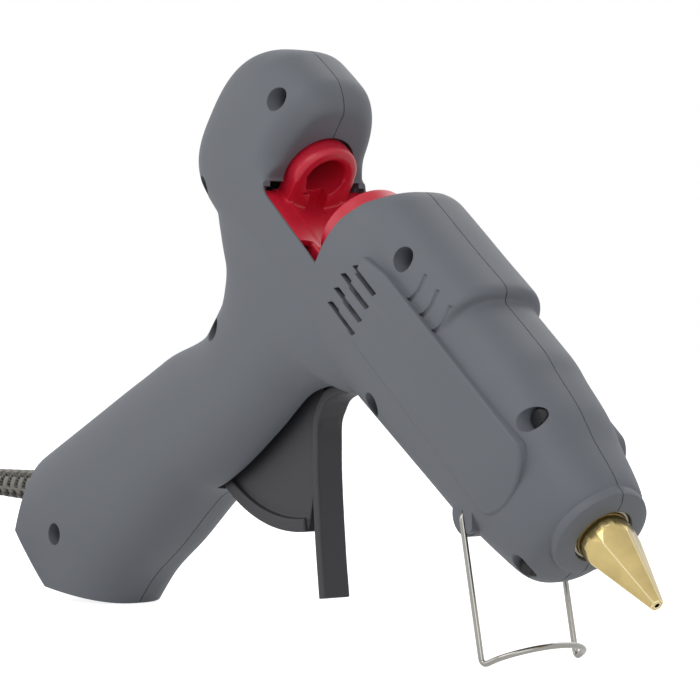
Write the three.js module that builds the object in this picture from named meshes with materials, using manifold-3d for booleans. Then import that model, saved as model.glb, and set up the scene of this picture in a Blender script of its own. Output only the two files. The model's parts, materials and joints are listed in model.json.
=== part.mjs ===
// Hot-melt glue gun for 11 mm sticks, millimetres, +Z up, nozzle towards +X.
// The gun is drawn in its barrel frame: x along the stick axis towards the nozzle, z square to it and up,
// y to the gun's left, and z zero on the stick axis. It then leans nose down on its butt and wire stand.
import * as THREE from "three";
import { mergeVertices } from "three/addons/utils/BufferGeometryUtils.js";
import Module from "manifold-3d";

const wasm = await Module();
wasm.setup();

// Housing
const humpLength = 38.5;
const windowLength = 34.8;
const frontLength = 120.7;
const windowRearX = -19.5;
const faceRadius = 33;
const roofHeight = 22.6;
const hoodHeight = 26.3;
const humpHeight = 26.2;
const bellyDepth = 33;
const bodyHalf = 18.4;
const wall = 2.6;
const partingGap = 0.3;
const fit = 0.3;
const overrun = 12;
const sill = 6.2;
const collarRadius = 13.9;
const collarLength = 3.2;
const collarChamfer = 2.4;
const noseHoleRadius = 8.5;
const inletRadius = 7.4;
const inletBossRadius = 11.5;
const inletBossProud = 1.5;
const ribLength = 2.4;
const railGap = 8.8;
const railLength = 58;
const mouthClearance = 0.8;
const weld = 1e-4;

// Handle
const handleHalf = 17.6;
const neckX = -2;
const neckWidth = 45;
const neckDepth = 58;
const gripLength = 102;
const handleRake = 27.8;
const buttDepth = 178.5;
const buttWidth = 61.2;
const buttBackX = -74;
const buttRound = 7;

// Window, vents, pad and grooves
const ventCount = 4;
const ventPitch = 4.95;
const ventHeight = 1.8;
const ventTopZ = 4;
const ventRearX = 28;
const ventFrontX = 44;
const ventSkew = 1.4;
const padRearX = 33;
const padSetback = 15.5;
const padTop = 11.2;
const padBottom = 13;
const padProud = 1.1;
const grooveCount = 3;
const groovePitch = 6.8;
const grooveWidth = 0.9;
const grooveDepth = 0.7;
const grooveFirstX = 55;
const grooveTop = 18.5;
const windowRise = 1.6;

// Screws
const postRadius = 4;
const counterboreRadius = 3.15;
const headRadius = 2.8;
const headHeight = 2.2;
const headDepthY = 9;
const shankRadius = 1.5;
const shankLength = 17;

// Stick, chamber and nozzle
const stickBore = 6.1;
const chamberRadius = 9.2;
const chamberFlange = 11.2;
const chamberRearX = 58;
const chamberFrontShare = 0.935;
const chamberEndGap = 0.1545;
const flangeLength = 4;
const spigotRadius = 4.3;
const spigotLength = 12;
const nozzleBaseRadius = 7.25;
const nozzleBaseLength = 6;
const nozzleLength = 29.8;
const nozzleTipRadius = 1.75;
const nozzleFlats = 6;
const orificeRadius = 0.75;
const glueBore = 2.4;
const ballRadius = 1.9;
const springWire = 0.4;
const heaterLength = 30;
const heaterWidth = 12;
const heaterThickness = 3.4;
const saddleDepth = 17;
const saddleHalf = 8.5;
const sleeveLength = 17;
const sleeveWall = 2.2;
const clampLength = 4;
const clampWall = 1.3;
const spoutLength = 7.5;
const spoutRadius = 7.6;
const throatLength = 8;
const clipThickness = 1;
const sealWall = 0.6;
const sealLength = 4.5;

// Feeder
const ringX = -17.6;
const ringLength = 6.5;
const ringRadius = 10.6;
const ringBore = 6.4;
const feederFloor = 11;
const guardRadius = 13.8;
const guardWall = 1.9;
const guardRearX = 7.7;
const guardLength = 18;
const lugHalf = 7.6;
const lugWall = 2.4;
const drivePinDrop = 17.5;
const drivePinRadius = 1.5;
const gripperWidth = 4.6;
const gripperPinX = 17;
const gripperPinDrop = 11.6;
const gripperPinRadius = 1.1;
const tailTube = 13;
const troughInner = 10.4;
const troughOuter = 12.45;
const runnerInner = 8.4;
const runnerOuter = 12.8;
const jawReach = 6;

// Trigger
const pivotX = 4;
const pivotDrop = 42;
const pivotRadius = 2;
const hubRadius = 5.5;
const sectorRadius = 57.5;
const sectorRim = 4;
const webHalf = 3;
const rimHalf = 4.5;
const bladeThickness = 3.2;
const bladeReachX = 60;
const bladeReachZ = 49;
const slotHalf = 6.2;
const triggerSweep = 22;
const armWidth = 4.2;
const slotClearance = 1.2;
const throatX = 44;
const sectorRearAngle = -100;
const bladeCrossAngle = -45;
const slotFrontAngle = -40;
const rearRibAngle = 4;

// Return spring
const pegRadius = 1.2;
const springLane = 8.2;
const returnRadius = 3;
const returnWire = 0.5;

// Stand
const standWire = 0.8;
const standSetback = 29.5;
const standDrop = 20.2;
const standInset = 2.8;
const legLength = 40.5;
const legLean = 39.2;
const bowRise = 10;
const footBend = 2.6;
const standLugRadius = 6.2;
const standLugInset = 4.1;
const standSocket = 5;

// Cord
const cordRadius = 3.4;
const reliefRootRadius = 5.7;
const reliefTipRadius = 4.3;
const reliefLength = 48;
const reliefRibs = 7;
const reliefFlange = 7.6;
const cordHeight = 34;
const foldRadius = 19.6;
const hankRun = 56;
const hankPitch = 7.5;
const layerPitch = 7.4;
const layerTurns = 1.5;
const hankLayers = 4;
const hankTurns = 5.5;
const hankLead = 61.5;
const hankWaist = 4;
const tieWidth = 12;
const tieThickness = 1;
const plugRun = 47;
const plugLength = 34;
const plugHalf = 6.8;
const plugWidth = 13.5;
const plugPinRadius = 2;
const plugPinLength = 19;
const plugPinPitch = 19;
const leadRadius = 0.9;
const leadSpread = 18.4;
const tailReach = 32;
const clampBack = 23;
const clampReach = 8.6;
const clampBar = 7.5;
const clampBarThickness = 2.6;
const blockLength = 15;
const blockHalfHeight = 5.5;
const blockHalfWidth = 7;

const tailX = windowRearX - humpLength;
const windowFrontX = windowRearX + windowLength;
const noseX = windowFrontX + frontLength;
const chamberFrontX = windowFrontX + frontLength * chamberFrontShare - chamberEndGap;
const chamberLength = chamberFrontX - chamberRearX;
const padFrontX = noseX - padSetback;
const standX = noseX - standSetback;
const standHalf = bodyHalf - standInset;
const standLugHalf = bodyHalf - standLugInset;
const collarFrontX = noseX + collarLength;
const pivotZ = -pivotDrop;
const RIGHT = -1;
const LEFT = 1;
const ALONG_X = new THREE.Vector3(1, 0, 0);
const ALONG_Y = new THREE.Vector3(0, 1, 0);

// Solids from geometry, and back
function solid(geometry) {
  const bare = new THREE.BufferGeometry();
  const source = geometry.index ? geometry.toNonIndexed() : geometry;
  bare.setAttribute("position", source.getAttribute("position").clone());
  const merged = mergeVertices(bare, weld);
  const vertProperties = new Float32Array(merged.attributes.position.array);
  const triVerts = new Uint32Array(merged.index.array);
  const made = new wasm.Manifold(new wasm.Mesh({ numProp: 3, vertProperties, triVerts }));
  if (made.volume() > 0) return made;
  for (let i = 0; i < triVerts.length; i += 3) {
    [triVerts[i], triVerts[i + 1]] = [triVerts[i + 1], triVerts[i]];
  }
  return new wasm.Manifold(new wasm.Mesh({ numProp: 3, vertProperties, triVerts }));
}

function geometryOf(manifold) {
  const mesh = manifold.getMesh();
  const geometry = new THREE.BufferGeometry();
  const places = new Float32Array(mesh.numVert * 3);
  for (let i = 0; i < mesh.numVert; i += 1) {
    places.set(mesh.vertProperties.subarray(i * mesh.numProp, i * mesh.numProp + 3), i * 3);
  }
  geometry.setAttribute("position", new THREE.BufferAttribute(places, 3));
  geometry.setIndex(new THREE.BufferAttribute(new Uint32Array(mesh.triVerts), 1));
  const faceted = geometry.toNonIndexed();
  faceted.computeVertexNormals();
  return faceted;
}

const join = (parts) => parts.reduce((sum, part) => sum.add(part));
const cutAll = (body, cutters) => cutters.reduce((left, cutter) => left.subtract(cutter), body);

// A closed skin over rings of points that all hold the same number of points
function loft(rings) {
  const places = [];
  const faces = [];
  const size = rings[0].length;
  rings.forEach((ring) => ring.forEach((p) => places.push(p.x, p.y, p.z)));
  for (let r = 0; r + 1 < rings.length; r += 1) {
    for (let k = 0; k < size; k += 1) {
      const a = r * size + k;
      const b = r * size + ((k + 1) % size);
      faces.push(a, b, a + size, b, b + size, a + size);
    }
  }
  [0, rings.length - 1].forEach((r) => {
    const middle = new THREE.Vector3();
    rings[r].forEach((p) => middle.add(p));
    middle.divideScalar(size);
    const centre = places.length / 3;
    places.push(middle.x, middle.y, middle.z);
    for (let k = 0; k < size; k += 1) {
      const a = r * size + k;
      const b = r * size + ((k + 1) % size);
      if (r === 0) faces.push(centre, b, a);
      else faces.push(centre, a, b);
    }
  });
  const geometry = new THREE.BufferGeometry();
  geometry.setAttribute("position", new THREE.Float32BufferAttribute(places, 3));
  geometry.setIndex(faces);
  return solid(geometry);
}

// A box between two corners
function box(x0, x1, y0, y1, z0, z1) {
  const geometry = new THREE.BoxGeometry(x1 - x0, y1 - y0, z1 - z0);
  geometry.translate((x0 + x1) / 2, (y0 + y1) / 2, (z0 + z1) / 2);
  return solid(geometry);
}

// A side outline of [x, z] points, as thick as from y0 to y1, with an optional rounded edge
function plate(outline, y0, y1, round = 0, roundSteps = 2) {
  const shape = new THREE.Shape(outline.map(([x, z]) => new THREE.Vector2(x, z)));
  const geometry = new THREE.ExtrudeGeometry(shape, {
    depth: y1 - y0 - 2 * round,
    bevelEnabled: round > 0,
    bevelSize: round,
    bevelOffset: -round,
    bevelThickness: round,
    bevelSegments: roundSteps,
    steps: 1,
  });
  geometry.rotateX(Math.PI / 2);
  geometry.translate(0, y1 - round, 0);
  return solid(geometry);
}

// A turned form about an axis through a point: profile of [place along the axis, radius]
function turned(profile, sides, axis = ALONG_X, at = new THREE.Vector3()) {
  const points = profile.map(([along, radius]) => new THREE.Vector2(Math.max(radius, 0), along));
  points.push(points[0].clone());
  const geometry = new THREE.LatheGeometry(points, sides);
  const turn = new THREE.Quaternion().setFromUnitVectors(ALONG_Y, axis);
  geometry.applyQuaternion(turn);
  geometry.translate(at.x, at.y, at.z);
  return solid(geometry);
}

const rod = (from, to, radius, sides, axis, at) =>
  turned([[from, 0], [from, radius], [to, radius], [to, 0]], sides, axis, at);

const pipe = (from, to, inner, outer, sides, axis, at) =>
  turned([[from, inner], [from, outer], [to, outer], [to, inner]], sides, axis, at);

// A pin along y through [x, z]
const crossRod = (x, z, radius, y0, y1, sides = 16) =>
  rod(y0, y1, radius, sides, ALONG_Y, new THREE.Vector3(x, 0, z));

// A round wire of one unbroken skin along points, its section carried without twist
function sweptWire(points, radius, sides) {
  const tangents = points.map((p, i) => {
    const ahead = points[Math.min(i + 1, points.length - 1)];
    const behind = points[Math.max(i - 1, 0)];
    return ahead.clone().sub(behind).normalize();
  });
  const first = tangents[0];
  const helper = Math.abs(first.z) < 0.9 ? new THREE.Vector3(0, 0, 1) : new THREE.Vector3(1, 0, 0);
  let across = helper.clone().cross(first).normalize();
  const rings = points.map((p, i) => {
    across = across.clone().addScaledVector(tangents[i], -across.dot(tangents[i])).normalize();
    const up = tangents[i].clone().cross(across);
    return Array.from({ length: sides }, (_, k) => {
      const angle = (2 * Math.PI * k) / sides;
      const aside = p.clone().addScaledVector(across, radius * Math.cos(angle));
      return aside.addScaledVector(up, radius * Math.sin(angle));
    });
  });
  return loft(rings);
}

// A polyline with each inner corner turned in an arc of a given radius
function softened(points, bend, steps) {
  const out = [points[0]];
  for (let i = 1; i + 1 < points.length; i += 1) {
    const toBack = points[i - 1].clone().sub(points[i]);
    const toFront = points[i + 1].clone().sub(points[i]);
    const reach = Math.min(bend, toBack.length() / 2.1, toFront.length() / 2.1);
    const start = points[i].clone().addScaledVector(toBack.normalize(), reach);
    const end = points[i].clone().addScaledVector(toFront.normalize(), reach);
    const curve = new THREE.QuadraticBezierCurve3(start, points[i], end);
    out.push(...curve.getPoints(steps));
  }
  out.push(points[points.length - 1]);
  return out;
}

// Sections of the body: a fuller or rounder oval from top to bottom
const BODY_STEPS = 24;
const CAVITY_STEPS = 14;
function oval(x, top, bottom, half, fullness, steps = BODY_STEPS) {
  const middle = (top + bottom) / 2;
  const rise = (top - bottom) / 2;
  const soften = (v) => Math.sign(v) * Math.abs(v) ** (2 / fullness);
  return Array.from({ length: steps }, (_, k) => {
    const angle = (2 * Math.PI * k) / steps;
    const c = Math.abs(Math.cos(angle)) < 1e-9 ? 0 : Math.cos(angle);
    const s = Math.abs(Math.sin(angle)) < 1e-9 ? 0 : Math.sin(angle);
    return new THREE.Vector3(x, half * soften(c), middle + rise * soften(s));
  });
}

// Hump stations: shares of its length, of the hump's height, of the belly's depth and of the half width
const humpShares = [
  [0, 0.4, 0.78, 0.7],
  [0.03, 0.57, 0.87, 0.8],
  [0.1, 0.7, 0.94, 0.89],
  [0.23, 0.84, 1, 0.96],
  [0.45, 0.985, 1.03, 0.995],
  [0.75, 1, 1.05, 1],
  [1, 0.9, 1.05, 1],
];

// Front stations: shares of its length, of the roof's height, of the belly's depth and of the half width
const frontShares = [
  [0, 0.86, 1.02, 1],
  [0.12, 0.985, 1, 1],
  [0.25, 1, 0.97, 1],
  [0.62, 1, 0.875, 1],
  [0.7, 0.94, 0.855, 0.99],
  [0.79, 0.88, 0.81, 0.975],
  [0.88, 0.75, 0.765, 0.94],
  [0.935, 0.7, 0.735, 0.895],
  [0.965, 0.67, 0.69, 0.855],
  [0.985, 0.64, 0.6, 0.81],
  [1, 0.6, 0.43, 0.74],
];
const bodyFullness = 2.75;
const noseFullness = 2.1;

function barrel(inset) {
  const rings = [];
  const steps = inset > 0 ? CAVITY_STEPS : BODY_STEPS;
  const place = (x, top, bottom, half, fullness) => {
    const at = Math.min(Math.max(x, tailX + inset), noseX - inset);
    rings.push(oval(at, top - inset, bottom + inset, half - inset, fullness, steps));
  };
  const spacing = inset > 0 ? wall * 2 : fit;
  const clear = (x) => rings.length === 0 || x > rings[rings.length - 1][0].x + spacing;
  humpShares.forEach(([along, top, bottom, half]) => {
    const x = tailX + along * humpLength;
    if (x < tailX + inset) return;
    if (clear(x)) place(x, top * humpHeight, -bottom * bellyDepth, half * bodyHalf, bodyFullness);
  });
  frontShares.forEach(([along, top, bottom, half]) => {
    const x = windowFrontX + along * frontLength;
    if (x > noseX - inset) return;
    const fullness = bodyFullness + (noseFullness - bodyFullness) * Math.max(0, along * 2 - 1);
    if (clear(x)) place(x, top * roofHeight, -bottom * bellyDepth, half * bodyHalf, fullness);
  });
  return loft(rings);
}

// The raised hood over the rear of the front body
const hoodShares = [
  [0, 0.74, 0.8],
  [0.1, 0.88, 0.86],
  [0.25, 0.985, 0.9],
  [0.6, 0.985, 0.92],
  [0.95, 1, 0.92],
  [0.99, 0.97, 0.9],
  [1, 0.92, 0.86],
];
const hoodLengthShare = 0.455;
function hood(inset) {
  const steps = inset > 0 ? CAVITY_STEPS : BODY_STEPS;
  const rings = hoodShares.map(([along, top, half]) => {
    const x = windowFrontX + along * frontLength * hoodLengthShare;
    const [roof, side] = [top * hoodHeight - inset, half * bodyHalf - inset];
    return oval(x - inset * along, roof, -sill, side, bodyFullness, steps);
  });
  return loft(rings);
}

// Neck stations: back and front, as shares of the neck's width across and of its depth down
const neckShares = [
  [-1.11, 0.26, 1.38, 0.21],
  [-1.07, 0.45, 1.2, 0.41],
  [-0.84, 0.59, 0.98, 0.585],
  [-0.65, 0.67, 0.78, 0.655],
  [-0.555, 0.76, 0.68, 0.73],
  [-0.493, 0.88, 0.593, 0.833],
  [-0.495, 1.045, 0.498, 1.088],
];
// Grip stations: the share of its length down from the waist, and its width as a share of the neck's
const gripShares = [
  [0.245, 1.145],
  [0.37, 1.17],
  [0.48, 1.15],
  [0.735, 1.3],
  [0.96, 1.42],
  [1.215, 1.68],
];
const handleFullness = 2.7;
const rake = THREE.MathUtils.degToRad(handleRake);

function handleRing(back, front, inset) {
  const middle = back.clone().add(front).divideScalar(2);
  const along = front.clone().sub(back);
  const reach = along.length() / 2 - inset;
  along.normalize();
  const steps = inset > 0 ? CAVITY_STEPS : BODY_STEPS - 4;
  return Array.from({ length: steps }, (_, k) => {
    const angle = (2 * Math.PI * k) / steps;
    const c = Math.abs(Math.cos(angle)) < 1e-9 ? 0 : Math.cos(angle);
    const s = Math.abs(Math.sin(angle)) < 1e-9 ? 0 : Math.sin(angle);
    const reached = reach * Math.sign(c) * Math.abs(c) ** (2 / handleFullness);
    const y = (handleHalf - inset) * Math.sign(s) * Math.abs(s) ** (2 / handleFullness);
    return middle.clone().addScaledVector(along, reached).setY(y);
  });
}

// The butt's corners: shares of its width forward from its back corner, and of its depth down
const buttShares = [
  [0, 0.868],
  [0.167, 0.997],
  [0.58, 1.006],
  [1, 0.921],
];
const buttCorners = buttShares.map(([x, z]) => [buttBackX + x * buttWidth, -z * buttDepth]);

// An outline with each side moved inwards
function insetOutline(points, inset) {
  const area = points.reduce((sum, [x, z], i) => {
    const [nx, nz] = points[(i + 1) % points.length];
    return sum + x * nz - nx * z;
  }, 0);
  const turn = Math.sign(area);
  const sides = points.map(([x, z], i) => {
    const [nx, nz] = points[(i + 1) % points.length];
    const length = Math.hypot(nx - x, nz - z);
    const dx = (nx - x) / length;
    const dz = (nz - z) / length;
    return { x: x - dz * inset * turn, z: z + dx * inset * turn, dx, dz };
  });
  return sides.map((side, i) => {
    const before = sides[(i + sides.length - 1) % sides.length];
    const cross = before.dx * side.dz - before.dz * side.dx;
    const t = ((side.x - before.x) * side.dz - (side.z - before.z) * side.dx) / cross;
    return [before.x + before.dx * t, before.z + before.dz * t];
  });
}

function handle(inset) {
  const rings = neckShares.map(([backX, backZ, frontX, frontZ]) => {
    const back = new THREE.Vector3(neckX + backX * neckWidth, 0, -backZ * neckDepth);
    const front = new THREE.Vector3(neckX + frontX * neckWidth, 0, -frontZ * neckDepth);
    return handleRing(back, front, inset);
  });
  const waistBackX = neckX - neckWidth / 2;
  gripShares.forEach(([down, width]) => {
    const z = -neckDepth - down * gripLength;
    const x = waistBackX - down * gripLength * Math.tan(rake);
    const back = new THREE.Vector3(x, 0, z);
    rings.push(handleRing(back, new THREE.Vector3(x + width * neckWidth, 0, z), inset));
  });
  const far = buttDepth;
  const around = [[far, -far / 2], [far, overrun], [-far, overrun], [-far, -far / 2]];
  const outline = insetOutline([...buttCorners, ...around], inset);
  const butt = plate(outline, -handleHalf - fit + inset, handleHalf + fit - inset, buttRound, 3);
  return loft(rings).intersect(butt);
}

// Resting lean: the butt's lowest corner and the stand's feet lie on one line, which is the floor
const lean = THREE.MathUtils.degToRad(legLean);
const foot = [standX + legLength * Math.cos(lean), -standDrop - legLength * Math.sin(lean)];
const heel = buttCorners[3];
const span = Math.hypot(foot[0] - heel[0], foot[1] - heel[1]);
const footLift = footBend * 0.3;
const tilt = Math.atan2(foot[1] - heel[1], foot[0] - heel[0]) - Math.asin((standWire - footLift) / span);
const heelHeight = -(-heel[0] * Math.sin(tilt) + heel[1] * Math.cos(tilt));
const toStood = (x, z) => [
  x * Math.cos(tilt) + z * Math.sin(tilt),
  -x * Math.sin(tilt) + z * Math.cos(tilt) + heelHeight,
];
const levelBack = new THREE.Vector3(-Math.cos(tilt), 0, -Math.sin(tilt));

// The cord leaves the butt's back face level, at its own height over the floor
function cordEntry() {
  const [upper, lower] = buttCorners.map(([x, z]) => toStood(x, z));
  const share = (upper[1] - cordHeight) / (upper[1] - lower[1]);
  const [ux, uz] = buttCorners[0];
  const [lx, lz] = buttCorners[1];
  return new THREE.Vector3(ux + (lx - ux) * share, 0, uz + (lz - uz) * share);
}
const entry = cordEntry();

// Window, mouths and slots
function windowOutline() {
  const top = hoodHeight + overrun;
  const lip = windowFrontX;
  return [
    [windowRearX, top],
    [windowRearX, 0],
    [windowRearX + sill * 0.25, -sill * 0.65],
    [windowRearX + sill, -sill],
    [lip - sill * 0.9, -sill],
    [lip - sill * 0.3, -sill * 0.55],
    [lip, 0],
    [lip + windowRise * 0.4, hoodHeight * 0.35],
    [lip + windowRise * 1.6, hoodHeight * 0.57],
    [lip + windowRise * 5.8, hoodHeight * 0.92],
    [lip + windowRise * 8.5, top],
  ];
}

const pivotAt = (radius, degrees) => {
  const angle = THREE.MathUtils.degToRad(degrees);
  return [pivotX + radius * Math.cos(angle), pivotZ + radius * Math.sin(angle)];
};
const arc = (radius, from, to, steps) =>
  Array.from({ length: steps + 1 }, (_, i) => pivotAt(radius, from + ((to - from) * i) / steps));

const slotOutline = [
  ...arc(sectorRadius + slotClearance, sectorRearAngle, slotFrontAngle, 10),
  [throatX, pivotZ * 1.25],
  [throatX, pivotZ * 0.74],
  [pivotX + hubRadius, pivotZ * 0.74],
  [pivotX + hubRadius, pivotZ - hubRadius],
];

// Screw places: [x, z] of each, as shares of the part of the housing that holds it
const screwPlaces = [
  [tailX + humpLength * 0.7, humpHeight * 0.63],
  [tailX + humpLength * 0.27, -bellyDepth * 0.82],
  [neckX - neckWidth * 0.32, -neckDepth * 0.97],
  [buttBackX + buttWidth * 0.49, -buttDepth * 0.908],
  [windowFrontX + frontLength * 0.245, roofHeight * 0.75],
  [windowFrontX + frontLength * 0.785, roofHeight * 0.68],
  [windowFrontX + frontLength * 0.35, -bellyDepth * 0.72],
  [windowFrontX + frontLength * 0.955, -bellyDepth * 0.53],
];

const outer = [barrel(0), hood(0), handle(0)];
const collar = turned(
  [
    [noseX - wall * 2, 0],
    [noseX - wall * 2, collarRadius],
    [collarFrontX - collarChamfer * 0.8, collarRadius],
    [collarFrontX, collarRadius - collarChamfer],
    [collarFrontX, 0],
  ],
  32,
);
const inletBoss = turned(
  [
    [tailX - inletBossProud, 0],
    [tailX - inletBossProud, inletBossRadius - inletBossProud],
    [tailX, inletBossRadius],
    [tailX + wall * 2, inletBossRadius],
    [tailX + wall * 2, 0],
  ],
  24,
);

// The raised pad along each side, with its round front end
function pad(side) {
  const middle = (padTop - padBottom) / 2;
  const radius = (padTop + padBottom) / 2;
  const outline = [[padRearX, padTop * 0.8], [padRearX + padTop, padTop]];
  for (let i = 0; i <= 8; i += 1) {
    const angle = Math.PI / 2 - (Math.PI * i) / 8;
    const x = padFrontX + radius * 0.62 * (Math.cos(angle) - 1);
    outline.push([x, middle + radius * Math.sin(angle)]);
  }
  outline.push([padRearX + padTop, -padBottom], [padRearX, -padBottom * 0.8]);
  const outside = bodyHalf + padProud;
  const y0 = side === LEFT ? bodyHalf - wall : -outside;
  const y1 = side === LEFT ? outside : wall - bodyHalf;
  return plate(outline, y0, y1, padProud * 0.7, 2);
}

// Lugs for the stand's ends, each with the stop shoulder that its leg leans on
function standLug(side) {
  const inner = side * (standLugHalf - standSocket);
  const outerY = side * standLugHalf;
  const [near, far] = [Math.min(inner, outerY), Math.max(inner, outerY)];
  const lug = crossRod(standX, -standDrop, standLugRadius, near, far, 18);
  const away = new THREE.Vector2(Math.cos(lean), -Math.sin(lean));
  const front = new THREE.Vector2(Math.sin(lean), Math.cos(lean));
  const at = (along, ahead) => [
    standX + away.x * along + front.x * ahead,
    -standDrop + away.y * along + front.y * ahead,
  ];
  const gap = standWire + fit;
  const shoulder = [
    at(-standLugRadius * 0.3, gap),
    at(standLugRadius * 0.95, gap),
    at(standLugRadius * 0.85, gap + wall),
    at(-standLugRadius * 0.3, gap + wall * 1.6),
  ];
  const reach = side * (standHalf + standWire);
  return lug.add(plate(shoulder, Math.min(inner, reach), Math.max(inner, reach)));
}

const skin = join([...outer, collar, inletBoss, pad(RIGHT), pad(LEFT), standLug(RIGHT), standLug(LEFT)]);
const hollow = (inset) => {
  const underHood = box(windowFrontX, noseX, -bodyHalf, bodyHalf, 0, hoodHeight);
  return barrel(inset).add(handle(inset)).add(hood(inset).intersect(underHood));
};
const cavity = hollow(wall);
const core = hollow(wall / 2);

// Walls that close the hump and the front body towards the window
const strip = (points) => plate(points, -bodyHalf, bodyHalf);
const rim = windowOutline();
const shifted = (points, dx) => points.map(([x, z]) => [x + dx, z]);
const UPWARD = new THREE.Vector3(0, 0, 1);
const faceCentre = new THREE.Vector3(windowRearX - faceRadius, 0, 0);
const faceBow = (radius) => rod(-sill, hoodHeight, radius, 64, UPWARD, faceCentre);
const faceTop = hoodHeight + overrun;
const faceBox = box(windowRearX - overrun, windowRearX + fit, -bodyHalf, bodyHalf, -sill, faceTop);
const rearWall = faceBow(faceRadius).subtract(faceBow(faceRadius - wall)).intersect(faceBox);
const frontEdge = rim.slice(6, 10);
const frontBack = shifted(frontEdge, wall).reverse();
const frontWall = strip([[windowFrontX, -sill], ...frontEdge, ...frontBack, [windowFrontX + wall, -sill]]);
const saddleFloor = -saddleDepth - fit * 8;
const chamberRib = (x) => {
  const [from, to] = [x - fit, x + ribLength + fit];
  return box(x, x + ribLength, -bodyHalf, bodyHalf, -bellyDepth, hoodHeight)
    .subtract(rod(from, to, chamberRadius + fit, 24))
    .subtract(box(from, to, -chamberRadius, chamberRadius, saddleFloor, -chamberRadius / 2));
};
const ribs = [
  chamberRib(chamberRearX + flangeLength + fit),
  chamberRib(chamberFrontX - flangeLength - fit - ribLength),
];
const railTop = guardRadius + fit;
const rails = [RIGHT, LEFT].map((side) => {
  const y0 = side === LEFT ? railGap : -bodyHalf;
  const y1 = side === LEFT ? bodyHalf : -railGap;
  const railRear = windowRearX + wall;
  return box(railRear, railRear + railLength, y0, y1, -railTop - ribLength, -railTop);
});
const beyond = bodyHalf + overrun;
const posts = screwPlaces.map(([x, z]) => crossRod(x, z, postRadius, -beyond, beyond, 12));
const bosses = [RIGHT, LEFT].map((side) => {
  const near = side * (rimHalf + fit);
  const far = side * beyond;
  return crossRod(pivotX, pivotZ, pivotRadius + wall, Math.min(near, far), Math.max(near, far), 16);
});

const inside = join([rearWall, frontWall, ...ribs, ...rails, ...posts]).intersect(core);

const reliefMouth = rod(-wall * 2, wall * 2, reliefRootRadius + fit, 20, levelBack, entry);
const faceHalf = bodyHalf + fit;
const faceRear = windowRearX - overrun * 0.667;
const faceRelief = box(faceRear, windowRearX + fit, -faceHalf, faceHalf, -sill * 0.65, hoodHeight)
  .subtract(faceBow(faceRadius));
const ringMouth = windowRearX - wall * 2;
const mouths = [
  faceRelief,
  plate(windowOutline(), -beyond, beyond),
  rod(ringMouth, windowRearX + wall, ringRadius + mouthClearance, 24),
  box(ringMouth, windowRearX + wall, -ringRadius, ringRadius, -feederFloor - mouthClearance, 0),
  rod(windowFrontX - wall, windowFrontX + wall * 4, guardRadius + mouthClearance, 32),
  rod(tailX - overrun, tailX + overrun, inletRadius, 24),
  rod(chamberFrontX, collarFrontX + overrun, noseHoleRadius, 24),
  plate(slotOutline, -slotHalf, slotHalf),
  reliefMouth,
];

// Four vent slots in each side, each a step forward of the one below it
function vents(side) {
  return Array.from({ length: ventCount }, (_, i) => {
    const z = ventTopZ - i * ventPitch;
    const rear = ventRearX + (i === 0 ? ventSkew * 2 : 0);
    const y0 = side === LEFT ? bodyHalf - wall - fit : -beyond;
    const y1 = side === LEFT ? beyond : wall + fit - bodyHalf;
    const front = ventFrontX - i * ventSkew * 0.3;
    return box(rear, front, y0, y1, z - ventHeight / 2, z + ventHeight / 2);
  });
}

// Short upright grooves above each pad
function grooves(side) {
  return Array.from({ length: grooveCount }, (_, i) => {
    const x = grooveFirstX + i * groovePitch;
    const y0 = side === LEFT ? bodyHalf - grooveDepth : -beyond;
    const y1 = side === LEFT ? beyond : grooveDepth - bodyHalf;
    return box(x, x + grooveWidth, y0, y1, padTop, grooveTop);
  });
}

const counterbores = screwPlaces.map(([x, z]) =>
  crossRod(x, z, counterboreRadius, -beyond, -headDepthY, 14),
);
const screwHoles = screwPlaces.map(([x, z]) =>
  crossRod(x, z, shankRadius + fit, -bodyHalf, shankLength - headDepthY + fit, 8),
);
const pivotHole = crossRod(pivotX, pivotZ, pivotRadius + fit, -bodyHalf + wall, bodyHalf - wall, 16);
const standHoles = crossRod(standX, -standDrop, standWire + fit, -beyond, beyond, 12);

// Housing screw: a pan head on a shank
const screw = ([x, z]) =>
  turned(
    [
      [-headDepthY - headHeight, 0],
      [-headDepthY - headHeight, headRadius * 0.8],
      [-headDepthY - headHeight * 0.6, headRadius],
      [-headDepthY - fit, headRadius],
      [-headDepthY - fit, shankRadius],
      [shankLength - headDepthY - shankRadius, shankRadius],
      [shankLength - headDepthY, 0],
    ],
    10,
    ALONG_Y,
    new THREE.Vector3(x, 0, z),
  );

// Melt chamber: a bored barrel with two flanges, a rear spout and a saddle for the heater
const spigotBoreX = chamberFrontX - spigotLength;
const chamberBody = turned(
  [
    [chamberRearX - spoutLength, stickBore],
    [chamberRearX - spoutLength, spoutRadius],
    [chamberRearX, spoutRadius],
    [chamberRearX, chamberFlange],
    [chamberRearX + flangeLength, chamberFlange],
    [chamberRearX + flangeLength, chamberRadius],
    [chamberFrontX - flangeLength, chamberRadius],
    [chamberFrontX - flangeLength, chamberFlange],
    [chamberFrontX, chamberFlange],
    [chamberFrontX, spigotRadius + fit],
    [spigotBoreX, spigotRadius + fit],
    [spigotBoreX, glueBore],
    [spigotBoreX - throatLength / 4, glueBore],
    [spigotBoreX - throatLength, stickBore],
  ],
  24,
);
const saddleX = chamberRearX + chamberLength * 0.25;
const saddleLength = heaterLength + ribLength;
const pocketTop = -chamberRadius - 1.1 * fit;
const pocketBottom = pocketTop - heaterThickness - clipThickness - 2 * fit;
const heaterX = saddleX + (saddleLength - heaterLength) / 2;
const pocketHalf = heaterWidth / 2 + fit;
const saddleEnd = saddleX + saddleLength;
const saddle = box(saddleX, saddleEnd, -saddleHalf, saddleHalf, -saddleDepth, -stickBore - fit)
  .subtract(box(saddleX - fit, saddleEnd + fit, -pocketHalf, pocketHalf, pocketBottom, pocketTop));
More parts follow.
